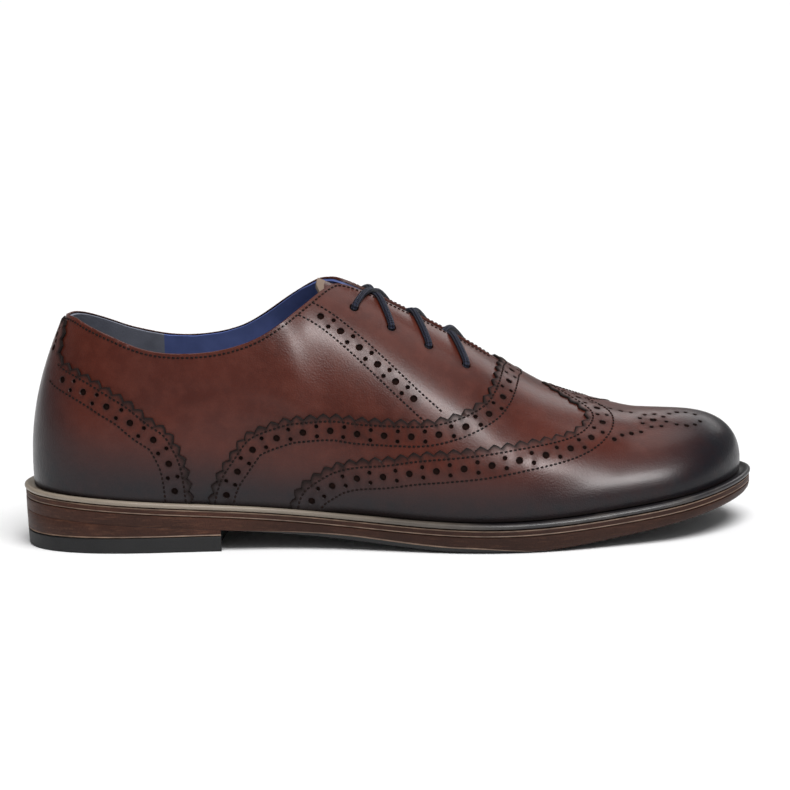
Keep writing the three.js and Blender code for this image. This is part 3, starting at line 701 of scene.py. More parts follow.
@dataclass
class Panel:
    """Cut leather with a bevelled or pinked edge and punched holes.

    The outline and the circles of the holes are laid on the chart, filled with triangles, and raised from the
    last along its normals: the edge drops by the bevel, walls fall to the underside, holes end on a floor.
    """

    last: Last
    chart: Chart
    edges: Sequence[Edge]
    holes: Sequence[Hole]
    top: Callable[[Array], Array]
    thickness: float
    tooth_pitch: float = 5.3
    tooth_depth: float = 1.9
    tooth_steps: int = 6
    bevel: float = 0.3
    hole_rim: float = 0.28
    hole_depth: float = 0.8
    spacing: float = 2.2
    plain_pitch: float = 1.6
    joined_pitch: float = 2.0
    scale: tuple[float, float] = (25.0, 80.0)
    dark_reach: float = 2.2
    rim_dark: float = 1.0

    def _stretch(self, edge: Edge) -> Array:
        """Places of one stretch of the outline, teeth included, without its last place."""
        if not edge.pinked:
            pitch = self.joined_pitch if edge.joined else self.plain_pitch
            return trace(self.last, self.chart, edge.line, pitch, smooth=edge.smooth)[:-1]
        steps = self.tooth_steps
        places = trace(self.last, self.chart, edge.line, self.tooth_pitch / steps, steps)
        phase = np.arange(len(places)) % steps / steps
        swing = (1.0 - np.abs(2.0 * phase - 1.0)) ** 0.8
        return beside(self.last, self.chart, places, self.tooth_depth * (0.5 - swing))[:-1]

    def _circle(self, hole: Hole, radius: float, sides: int) -> Array:
        """Places of a circle round a hole's middle: the radius is turned in the tangent plane.

        Args:
            hole: the hole.
            radius: millimetres.
            sides: number of places.

        Returns:
            The places in order.
        """
        turn = 2.0 * np.pi * np.arange(sides) / sides
        middle = np.repeat(hole.place[None], sides, 0)
        first = unit(self.last.tangents(self.chart, middle)[0])
        second = np.cross(self.last.normals(self.chart, middle), first)
        spoke = first * np.cos(turn)[:, None] + second * np.sin(turn)[:, None]
        return self.last.shift(self.chart, middle, spoke, np.full(sides, radius))

    def solid(self) -> Solid:
        """Fills the outline and raises it to a closed solid.

        Returns:
            The panel as a closed solid.
        """
        stretches = [self._stretch(edge) for edge in self.edges]
        outline = np.concatenate(stretches)
        joined = np.concatenate([np.full(len(s), e.joined) for s, e in zip(stretches, self.edges)])
        seam = np.roll(joined, 1) | joined
        around = np.concatenate([outline[-1:], outline, outline[:1]])
        left = frames(self.last, self.chart, around)[1][1:-1]
        brow = self.last.shift(self.chart, outline, left, np.where(seam, 0.0, 1.1 * self.bevel))
        net = Net()
        net.add(outline, np.where(seam, 0.0, 1.0), np.where(seam, 0.0, self.rim_dark), ring=True)
        net.add(brow[~seam], 0.0, self.rim_dark)
        rings = [outline]
        for number, hole in enumerate(self.holes):
            sides = 16 if hole.radius > 1.0 else 12
            # Dark colour at each hole's edge and a little on the ring round it: partly the cut edge, partly painted
            # shade of the hole.
            net.add(self._circle(hole, hole.radius, sides), 1.0, 1.0, number, ring=True)
            rings.append(self._circle(hole, hole.radius + self.hole_rim, sides))
            net.add(rings[-1], 0.0, 0.3, ring=True)
        inner = self._fill(outline, rings)
        away = nearest(self.last.on(self.chart, inner), self.last.on(self.chart, outline[~seam]))
        net.add(inner, 0.0, self.rim_dark * np.clip(1.0 - away / self.dark_reach, 0.0, 1.0) ** 1.5)
        flat = np.array(self.scale)
        drawn = [Vector(place) for place in (np.concatenate(net.places) * flat).tolist()]
        found = delaunay_2d_cdt(drawn, np.concatenate(net.edges).tolist(), [], 1, 1e-7)
        places = np.array([tuple(v) for v in found[0]]) / flat
        source = np.array([origin[0] if origin else -1 for origin in found[3]])
        known = source >= 0
        level, dark, hole_of = (
            np.where(known, np.concatenate(part)[source], blank)
            for part, blank in ((net.level, 0.0), (net.dark, 0.0), (net.hole, -1))
        )
        on_seam = known & (source < len(outline)) & seam[np.minimum(source, len(outline) - 1)]
        triangles = np.array(found[2])
        one, two = (places[triangles[:, k]] - places[triangles[:, 0]] for k in (1, 2))
        area = np.cross(one, two)
        triangles, area = triangles[np.abs(area) > 1e-12], area[np.abs(area) > 1e-12]
        triangles[area < 0] = triangles[area < 0][:, ::-1]
        return self._raise(places, triangles, level, dark, hole_of, on_seam)

    def _fill(self, outline: Array, rings: Sequence[Array]) -> Array:
        """Places of an even net inside the outline, clear of its edge and of the holes.

        Args:
            outline: places of the outline.
            rings: the outline and the holes' rims.

        Returns:
            The places of the net.
        """
        step = self.spacing / np.array(self.scale)
        low, high = outline.min(0), outline.max(0)
        across, upward = (np.arange(low[k], high[k], step[k]) for k in (0, 1))
        a, b = np.meshgrid(across, upward, indexing="ij")
        a = a + 0.5 * step[0] * (np.arange(len(upward)) % 2)[None]
        net = np.stack([a.ravel(), b.ravel()], -1)
        net = net[inside(net, outline)]
        points = self.last.on(self.chart, net)
        clear = nearest(points, self.last.on(self.chart, np.concatenate(rings))) > 0.35 * self.spacing
        for ring in rings[1:]:
            circle = self.last.on(self.chart, ring)
            middle = circle.mean(0)
            reach = np.linalg.norm(circle - middle, axis=1).max()
            clear &= np.linalg.norm(points - middle, axis=1) > reach + 0.3
        return net[clear]

    def _raise(self, places: Array, triangles: Array, level: Array, dark: Array, hole_of: Array,
               on_seam: Array) -> Solid:
        """Top, hole floors, walls and underside of the filled outline.

        Args:
            places: all places of the filled outline.
            triangles: three place numbers each.
            level: share of the bevel's drop.
            dark: share of cut-edge colour.
            hole_of: number of the hole at a place, or -1.
            on_seam: places that another stretch meets.

        Returns:
            The closed solid.
        """
        count = len(places)
        top = self.top(places)
        base = self.last.layer(self.chart, places, 0.0)
        normals = self.last.normals(self.chart, places)
        heights = (top - level * self.bevel, top - self.hole_depth * self.thickness, top - self.thickness)
        points = np.concatenate([base + normals * height[:, None] for height in heights])
        holes = hole_of[triangles]
        is_floor = (holes[:, 0] >= 0) & (holes[:, 0] == holes[:, 1]) & (holes[:, 1] == holes[:, 2])
        shown, floors = triangles[~is_floor], triangles[is_floor] + count
        sides = np.concatenate([shown[:, [0, 1]], shown[:, [1, 2]], shown[:, [2, 0]]])
        key, back = sides[:, 0] * count + sides[:, 1], sides[:, 1] * count + sides[:, 0]
        open_sides = sides[~np.isin(key, back)]
        open_sides = open_sides[~(on_seam[open_sides[:, 0]] & on_seam[open_sides[:, 1]])]
        at_hole = hole_of[open_sides[:, 0]] >= 0
        down = np.where(at_hole, count, 2 * count)[:, None]
        a, b = open_sides[:, :1], open_sides[:, 1:]
        walls = np.concatenate([b, a, a + down, b + down], 1)
        under = triangles[:, ::-1] + 2 * count
        # Slot 1, the near-black finish, covers hole floors, hole walls and the underside: painted shade in the holes.
        slots = np.concatenate([np.zeros(len(shown)), np.ones(len(floors) + len(under)), at_hole.astype(float)])
        values = {"edge": np.tile(dark, 3), "polish_and_low_shade": np.tile(polish_and_low_shade(self.last, base), 3)}
        return Solid(points, [shown, floors, under, walls], values, slots)


def polish_and_low_shade(last: Last, points: Array) -> Array:
    """Share of dark colour, as smooth steps of distance: a polished finish at the back of the heel and at the toe, and
    near the sole a band that is partly polished finish and partly painted shade low on the upper.

    Args:
        last: the last.
        points: points on it.

    Returns:
        A share from 0 to 1 for each point.
    """
    x, z = points[:, 0], points[:, 2]
    height = z - last.seat(np.clip(x, 0.0, last.length))
    # Band near the sole: partly polished finish, partly painted shade falling low on the upper.
    low = 1.0 - ramp(3.0, 26.0 + 8.0 * (1.0 - ramp(30.0, 110.0, x)), height)
    toe = ramp(252.0, 286.0, x)
    heel = (1.0 - ramp(3.0, 34.0, x)) * (1.0 - ramp(44.0, 76.0, height))
    return 1.0 - (1.0 - 0.92 * low) * (1.0 - 0.95 * toe) * (1.0 - 0.9 * heel)


# ---- stitches


@dataclass
class Stitching:
    """Short rounded stitches along lines: one small capsule of thread for each, laid in the surface."""

    last: Last
    length: float = 1.45
    radius: float = 0.44
    pitch: float = 1.88
    sides: int = 6
    sunk: float = 0.04

    def capsule(self) -> tuple[Array, list[Array]]:
        """Points and faces of one stitch along x: rings whose radius is an ellipse of their place, ends closed."""
        share = np.array([-0.62, 0.0, 0.62])
        radius = np.sqrt(1.0 - share**4) * self.radius
        turn = 2.0 * np.pi * np.arange(self.sides) / self.sides
        along = np.broadcast_to((share * self.length / 2)[:, None], (len(share), self.sides))
        body = np.stack([along, radius[:, None] * np.cos(turn), radius[:, None] * np.sin(turn)], -1)
        points = np.concatenate([body.reshape(-1, 3), [[-self.length / 2, 0, 0], [self.length / 2, 0, 0]]])
        quads = grid_faces(len(share), self.sides, close_columns=True)[:, ::-1]
        j = np.arange(self.sides)
        k = (j + 1) % self.sides
        start = np.full(self.sides, len(points) - 2)
        last_ring = (len(share) - 1) * self.sides
        return points, [
            quads, np.stack([k, j, start], -1), np.stack([start + 1, last_ring + j, last_ring + k], -1)
        ]

    def rows(self, chart: Chart, lines: Sequence[Array], top: Callable[[Array], Array]) -> Solid:
        """All stitches along the lines, sunk a little into leather whose height is given by top.

        Args:
            chart: the chart of the lines.
            lines: where the stitches run.
            top: height of the leather over the last.

        Returns:
            The stitches as one solid.
        """
        shape, faces = self.capsule()
        points, out = [], [[] for _ in faces]
        total = 0
        for line in lines:
            places = trace(self.last, chart, line, self.pitch)
            middle = self.last.layer(chart, places, top(places) - self.sunk)
            axes = np.stack(frames(self.last, chart, places), 1)
            points.append((middle[:, None] + np.einsum("kc,ncd->nkd", shape, axes)).reshape(-1, 3))
            shift = total + len(shape) * np.arange(len(places))
            for group, face in zip(out, faces):
                group.append((face[None] + shift[:, None, None]).reshape(-1, face.shape[1]))
            total += len(shape) * len(places)
        return Solid(np.concatenate(points), [np.concatenate(group) for group in out])


# ---- the upper


def punched_row(last: Last, chart: Chart, line: Array, pitch: float, spread: float, large: float = 1.25,
                small: float = 0.72, margin: float = 0.5, smooth: bool = True) -> list[Hole]:
    """Traditional punching: large holes along a line, and between each two a pair of small ones across it.

    Args:
        last: the last.
        chart: the chart of the line.
        line: where the row runs.
        pitch: millimetres between large holes.
        spread: millimetres from the line to a small hole.
        large: radius of a large hole.
        small: radius of a small hole.
        margin: steps left free at both ends.
        smooth: a cubic curve through the line's rows.

    Returns:
        The holes.
    """
    places = trace(last, chart, line, pitch / 2.0, 2, smooth=smooth)
    left = frames(last, chart, places)[1]
    index = np.arange(len(places))
    inner = (index >= margin) & (index <= len(places) - 1 - margin)
    holes = [Hole(p, large) for p in places[(index % 2 == 1) & inner]]
    pairs = (index % 2 == 0) & inner
    for side in (-spread, spread):
        moved = last.shift(chart, places[pairs], left[pairs], np.full(pairs.sum(), side))
        holes += [Hole(p, small) for p in moved]
    return holes


def spaced(last: Last, chart: Chart, holes: Sequence[Hole], bridge: float = 0.7) -> list[Hole]:
    """Holes that keep a bridge of leather between them, in millimetres; large ones are kept before small ones.

    Args:
        last: the last.
        chart: the chart of the holes.
        holes: all holes.
        bridge: least leather between two rims.

    Returns:
        The holes that stay.
    """
    kept: list[Hole] = []
    for hole in sorted(holes, key=lambda one: -one.radius):
        here = last.on(chart, hole.place[None])[0]
        apart = [
            np.linalg.norm(last.on(chart, other.place[None])[0] - here) - other.radius - hole.radius for other in kept
        ]
        if min(apart, default=bridge) >= bridge:
            kept.append(hole)
    return kept


@dataclass
class Upper:
    """Quarters, vamp, wing cap, heel counter, their stitches, and the lining; sizes in millimetres."""

    last: Last
    leather: bpy.types.Material
    # Near-black finish of hole floors and walls: painted shade.
    punched: bpy.types.Material
    thread: bpy.types.Material
    lining: bpy.types.Material
    lining_dark: bpy.types.Material
    wall: float = 2.2
    quarter_leather: float = 1.1
    vamp_over: float = 1.1
    cap_over: float = 1.95
    cap_settled: float = 0.1
    cap_at_tip: float = 1.3
    counter_over: float = 1.15
    vamp_band: tuple[float, float, float] = (2.3, 6.1, 9.8)
    cap_band: tuple[float, float, float] = (2.9, 7.3, 12.0)
    counter_band: tuple[float, float, float] = (2.4, 6.4, 10.6)
    hole_pitch: float = 11.0
    pair_spread: float = 2.0
    under_vamp: float = 8.0
    under_cap: float = 7.0
    strip_width: float = 7.6
    strip_pitch: float = 10.4
    strip_spread: float = 1.75
    strip_shown: tuple[float, float] = (0.046, 0.912)
    hem: float = 1.7
    eyelet: float = 1.75
    large: float = 1.25
    small: float = 0.72
    flower_middle: tuple[float, float] = (10.74, -0.24)
    flower_radius: float = 5.4
    suede_to: float = 57.0
    suede_lean: float = 0.06

    def mouth_line(self) -> Array:
        """Topline and facings on the heel chart, from the outer end of the throat round the heel."""
        inner = np.stack([-TOPLINE[:, 0], TOPLINE[:, 2]], -1)
        return np.concatenate([TOPLINE[:, :2][::-1], inner[1:]])

    def sew(self, names: tuple[str, str], panel: Panel, rows: Sequence[Array], node: str,
            weld: float = 0.0) -> None:
        """Makes a panel and its stitches.

        Args:
            names: of the panel's piece and of the stitches' piece.
            panel: the leather.
            rows: lines of the stitches.
            node: node of the part that the panel replaces.
            weld: points closer than this, in millimetres, become one.
        """
        make_piece(self.last, names[0], panel.solid(), [self.leather, self.punched], [node], crease=30.0,
                   weld=weld)
        stitches = Stitching(self.last).rows(panel.chart, rows, panel.top)
        make_piece(self.last, names[1], stitches, [self.thread])

    def moved(self, chart: Chart, line: Array, distance: float, pitch: float = 1.5) -> Array:
        """A line moved to its left on the surface and evened out, its loops at corners cut away.

        Args:
            chart: the chart of the line.
            line: its rows.
            distance: millimetres to the left.
            pitch: spacing of its new places.

        Returns:
            The moved line.
        """
        places = trace(self.last, chart, line, pitch)
        shifted = beside(self.last, chart, places, distance)
        before, after = self.last.on(chart, places), self.last.on(chart, shifted)
        forward = np.sum(np.diff(before, axis=0) * np.diff(after, axis=0), -1) > 0.0
        keep = np.concatenate([[True], forward])
        if chart is Chart.RIDGE:
            keep &= places[:, 1] * shifted[:, 1] >= 0.0
        return shifted[keep]

    def punching_of(self, chart: Chart, line: Array,
                    band: tuple[float, float, float]) -> tuple[list[Hole], list[Array]]:
        """Holes in the middle of a band inside an edge, and its two rows of stitches.

        Args:
            chart: the chart of the edge.
            line: the edge.
            band: millimetres in to the first stitches, the holes and the second stitches.

        Returns:
            The holes, and the lines of the stitches.
        """
        holes = punched_row(self.last, chart, self.moved(chart, line, band[1]), self.hole_pitch, self.pair_spread)
        return holes, [self.moved(chart, line, band[0]), self.moved(chart, line, band[2])]

    def strip_lines(self) -> list[tuple[Array, list[Array]]]:
        """On each side: the middle of the facing's perforated strip and its two rows of stitches."""
        found = []
        for side, column in ((1.0, 1), (-1.0, 2)):
            places = trace(self.last, Chart.HEEL, STRIP * np.array([side, 1.0]), 1.0, smooth=False)
            rows = []
            for shift in (self.strip_width / 2.0, -self.strip_width / 2.0):
                row = beside(self.last, Chart.HEEL, places, shift)
                topline = np.interp(abs(row[:, 0]), TOPLINE[:, 0], TOPLINE[:, column])
                rows.append(row[row[:, 1] < topline - 0.02])
            found.append((places, rows))
        return found

    def build_quarters(self) -> None:
        """Quarters with eyelets and perforated strips, from the sole to the topline and facings."""
        chart = Chart.HEEL
        vamp_side = self.moved(chart, VAMP_EDGE, -self.under_vamp)
        vamp_side = vamp_side[(vamp_side[:, 1] < 0.995) & (vamp_side[:, 1] > 0.0)]
        front = np.concatenate([[[vamp_side[0, 0] - 0.03, 0.0]], vamp_side, [[8.8, 0.999]]])
        far_front = mirror_heel(front)
        mouth = self.mouth_line()
        mouth[0, 1] = mouth[-1, 1] = 0.999
        edges = [
            straight_edge(far_front[-1], front[0]),
            straight_edge(*front),
            straight_edge(front[-1], mouth[0]),
            Edge(mouth),
            straight_edge(mouth[-1], far_front[0]),
            straight_edge(*far_front),
        ]
        holes = [Hole(row * np.array([side, 1.0]), self.eyelet) for row in EYELETS for side in (1.0, -1.0)]
        stitches = [self.moved(chart, mouth[1:-1], self.hem)]
        for middle, rows in self.strip_lines():
            shown = middle[[round(share * (len(middle) - 1)) for share in self.strip_shown]]
            holes += punched_row(self.last, chart, shown, self.strip_pitch, self.strip_spread, smooth=False)
            stitches += rows
        panel = Panel(self.last, chart, edges, holes, even(0.0), self.quarter_leather, rim_dark=0.0)
        self.sew(("quarters", "quarter_stitches"), panel, stitches, "upper")

    def build_counter(self) -> None:
        """Heel counter with its tail up the back seam, pinked and punched."""
        chart = Chart.HEEL
        line = np.concatenate([COUNTER_EDGE[::-1], mirror_heel(COUNTER_EDGE)[::-1][1:]])
        edges = [straight_edge([line[-1, 0], 0.0], [line[0, 0], 0.0]), Edge(line, pinked=True)]
        side = COUNTER_EDGE[::-1][:-6]
        holes, rows = [], []
        for half in (side, mirror_heel(side)):
            more, lines = self.punching_of(chart, half, self.counter_band)
            holes += more
            rows += lines
        holes += [Hole(np.array([side * at, up]), radius) for side in (-1.0, 1.0) for at, up, radius in TAIL_HOLES]
        panel = Panel(self.last, chart, edges, holes, even(self.counter_over), self.counter_over - 0.05)
        self.sew(("counter", "counter_stitches"), panel, rows, "heel_counter")

    def build_vamp(self) -> None:
        """Vamp: from its pinked edge over the quarters to under the wing cap."""
        chart = Chart.RIDGE
        line = over_ridge(VAMP_EDGE)
        front = self.moved(chart, over_ridge(CAP_EDGE), -self.under_cap)
        front = front[(np.abs(front[:, 1]) < 0.99)]
        front = np.concatenate([[[front[0, 0], -1.0]], front, [[front[-1, 0], 1.0]]])
        edges = [
            straight_edge(line[0], front[0]),
            straight_edge(*front),
            straight_edge(front[-1], line[-1]),
            Edge(line[::-1], pinked=True),
        ]
        holes, rows = self.punching_of(chart, line[::-1], self.vamp_band)
        outline = np.concatenate([edge.line for edge in edges])
        holes = [hole for hole in holes if abs(hole.place[1]) < 0.97 and inside(hole.place[None], outline)[0]]
        panel = Panel(self.last, chart, edges, holes, even(self.vamp_over), self.vamp_over - 0.05)
        self.sew(("vamp_leather", "vamp_stitches"), panel, rows, "vamp")

    def cap_top(self, places: Array) -> Array:
        """Height of the cap: over the vamp near its edge, settled on to the last further on, fuller at the tip.

        Args:
            places: places on the ridge chart.

        Returns:
            Millimetres over the last.
        """
        points = self.last.on(Chart.RIDGE, places)
        edge = self.last.on(Chart.RIDGE, trace(self.last, Chart.RIDGE, over_ridge(CAP_EDGE), 3.0))
        tip = ramp(258.0, 288.0, points[:, 0])
        settled = self.cap_settled + (self.cap_at_tip - self.cap_settled) * tip
        return self.cap_over + (settled - self.cap_over) * ramp(6.0, 24.0, nearest(points, edge))

    def build_cap(self) -> None:
        """Wing cap: pinked edge with a peak on the ridge, joined to itself down the tip of the toe."""
        chart = Chart.RIDGE
        line = over_ridge(CAP_EDGE)
        toe = self.last.toe
        edges = [
            straight_edge(line[0], [toe, -1.0]),
            straight_edge([toe, -1.0], [toe, 0.0], [toe, 1.0], joined=True),
            straight_edge([toe, 1.0], line[-1]),
            Edge(line[::-1], pinked=True),
        ]
        holes, rows = self.punching_of(chart, line[::-1], self.cap_band)
        holes = [hole for hole in holes if abs(hole.place[1]) < 0.97]
        holes = spaced(self.last, chart, holes + self.medallion())
        panel = Panel(self.last, chart, edges, holes, self.cap_top, self.cap_over - self.vamp_over)
        self.sew(("wing_cap_leather", "wing_cap_stitches"), panel, rows, "wing_cap", weld=0.02)

    def medallion(self) -> list[Hole]:
        """Punched flower on the toe: a large hole, a ring of small ones, and curled arms, mirrored on its own axis.

        Returns:
            The holes.
        """
        middle = np.array([self.flower_middle])
        x = unit(self.last.tangents(Chart.RIDGE, middle)[0])
        y = np.cross(self.last.normals(Chart.RIDGE, middle), x)
        ring = 2.0 * np.pi * (np.arange(8) + 0.5) / 8
        reach = self.flower_radius
        spots = [(0.0, 0.0, self.large)] + [(reach * math.cos(t), reach * math.sin(t), self.small) for t in ring]
        for side in (-1.0, 1.0):
            spots += [(ahead, side * across, radius) for ahead, across, radius in MEDALLION_ARMS]
        step = np.array([x[0] * a + y[0] * b for a, b, _ in spots])
        length = np.linalg.norm(step, axis=1)
        moved = np.repeat(middle, len(spots), 0)
        for _ in range(6):
            moved = self.last.shift(Chart.RIDGE, moved, unit(step), length / 6.0)
        return [Hole(place, spot[2]) for place, spot in zip(moved, spots)]

    def build_lining(self) -> None:
        """Lining: inner skin from the insole to the topline, its edge drawn to the outer leather's edge."""
        toe = self.last.toe
        stations = np.concatenate([TOPLINE[:, 0], np.linspace(8.5, toe, 15)])
        fine = RowCurve(stations[:, None]).value(np.linspace(0, len(stations) - 1, 5 * len(stations)))[:, 0]
        ends = []
        for column in (1, 2):
            top = np.interp(fine, stations, np.concatenate([TOPLINE[:, column], np.ones(15)]))
            ends.append(np.where(fine < 8.2, top - 0.006, top))
        along = np.concatenate([fine, self.last.whole - fine[-2:0:-1]])
        top = np.concatenate([ends[0], ends[1][-2:0:-1]])
        rise = np.linspace(0.02, 1.0, 26)
        places = np.stack(np.broadcast_arrays(along[:, None], top[:, None] * rise[None]), -1)
        rows, columns = places.shape[:2]
        skins = [self._lining_skin(places, -depth).reshape(-1, 3) for depth in (self.wall, self.quarter_leather + 0.02)]
        points = np.concatenate(skins)
        grid = grid_faces(rows, columns, close_rows=True)
        i = np.arange(rows) * columns
        k, back = np.roll(i, -1), rows * columns
        end = columns - 1
        lip = np.stack([back + i + end, back + k + end, k + end, i + end], -1)
        foot = np.stack([back + k, back + i, i, k], -1)
        faces = [grid[:, ::-1], grid + back, lip, foot]
        middles = np.concatenate([points[group].mean(1) for group in faces])
        suede = middles[:, 0] < self.suede_to + self.suede_lean * (middles[:, 2] - 60.0)
        make_piece(self.last, "lining_skin", Solid(points, faces, {}, suede.astype(float)),
                   [self.lining, self.lining_dark])

    def _lining_skin(self, places: Array, offset: float) -> Array:
        """Offset skin of the whole loop; on the ridge both sides share one direction.

        Args:
            places: grid on the heel chart.
            offset: millimetres over the last.

        Returns:
            The grid of points.
        """
        at, up = places[..., 0], places[..., 1]
        inner = at > self.last.toe
        ridge = np.stack([np.where(inner, self.last.whole - at, at), np.where(inner, 1.0 - up, up - 1.0)], -1)
        shared = (np.abs(ridge[..., 1]) < 0.03) & (ridge[..., 0] > self.last.ridge_from)
        over, side = (
            self.last.normals(chart, spots.reshape(-1, 2)).reshape(*places.shape[:-1], 3)
            for chart, spots in ((Chart.RIDGE, ridge), (Chart.HEEL, places))
        )
        return self.last.surface(at, up) + offset * np.where(shared[..., None], over, side)

    def build(self) -> None:
        """Builds every piece of the upper."""
        self.build_quarters()
        self.build_counter()
        self.build_vamp()
        self.build_cap()
        self.build_lining()


# ---- tongue and laces


@dataclass
class Tongue:
    """Tongue under the facings: on each side it follows the last, and a cubic bridges the throat."""

    last: Last
    leather: bpy.types.Material
    under: bpy.types.Material
    depth: float = 4.1
    wall: float = 1.8
    beside_ridge: float = 0.05
    binding: int = 16
    edge: Array = field(default_factory=lambda: np.array([
        (5.9, 0.88), (5.93, 0.84), (5.99, 0.79), (6.12, 0.73), (6.33, 0.67), (6.7, 0.62), (7.2, 0.6), (7.7, 0.61),
        (8.2, 0.64), (8.7, 0.7),
    ]))

    def skin(self, offset: float) -> Array:
        """Grid of one side of the tongue: stations by places across.

        Args:
            offset: millimetres over the last.

        Returns:
            The grid of points.
        """
        rows = np.linspace(0.0, len(self.edge) - 1.0, 64)
        line = RowCurve(self.edge).value(rows)
        at, up = line[:, 0], line[:, 1]
        share = np.linspace(0.0, 1.0, 12)
        height = up[:, None] + (1.0 - self.beside_ridge - up[:, None]) * share[None]
        sides = []
        for side in (1.0, -1.0):
            places = np.stack([np.broadcast_to(side * at[:, None], height.shape), height], -1)
            sides.append(self.last.on(Chart.HEEL, places) + offset * self.last.normals(Chart.HEEL, places))
        outer, inner = sides[0], sides[1][:, ::-1]
        a, b = outer[:, -1], inner[:, 0]
        lean = (outer[:, -1] - outer[:, -2]), (inner[:, 0] - inner[:, 1])
        reach = np.linalg.norm(b - a, axis=1, keepdims=True) / 3.0
        t = np.linspace(0.0, 1.0, 8)[1:-1][None, :, None]
        c, d = a + unit(lean[0]) * reach, b + unit(lean[1]) * reach
        bridge = ((1 - t) ** 3 * a[:, None] + 3 * (1 - t) ** 2 * t * c[:, None]
                  + 3 * (1 - t) * t * t * d[:, None] + t**3 * b[:, None])
        return np.concatenate([outer, bridge, inner], 1)

    def build(self) -> None:
        """Builds the tongue as a closed wall."""
        outer, inner = self.skin(-self.depth), self.skin(-self.depth - self.wall)
        rows, columns = outer.shape[:2]
        count = rows * columns
        top = grid_faces(rows, columns)
        ids = np.arange(count).reshape(rows, columns)
        rim = np.concatenate([ids[:, 0], ids[-1, 1:], ids[-2::-1, -1], ids[0, -2:0:-1]])
        after = np.roll(rim, -1)
        walls = np.stack([after, rim, rim + count, after + count], -1)
        faces = [top, top[:, ::-1] + count, walls[:, ::-1]]
        bound = np.arange(len(top)) < self.binding * (columns - 1)
        slots = np.concatenate([bound.astype(float), np.ones(len(top)), np.ones(len(walls))])
        points = np.concatenate([outer.reshape(-1, 3), inner.reshape(-1, 3)])
        values = {"edge": np.zeros(2 * count), "polish_and_low_shade": np.full(2 * count, 0.15)}
        make_piece(self.last, "tongue_leather", Solid(points, faces, values, slots),
                   [self.leather, self.under], ["tongue"])


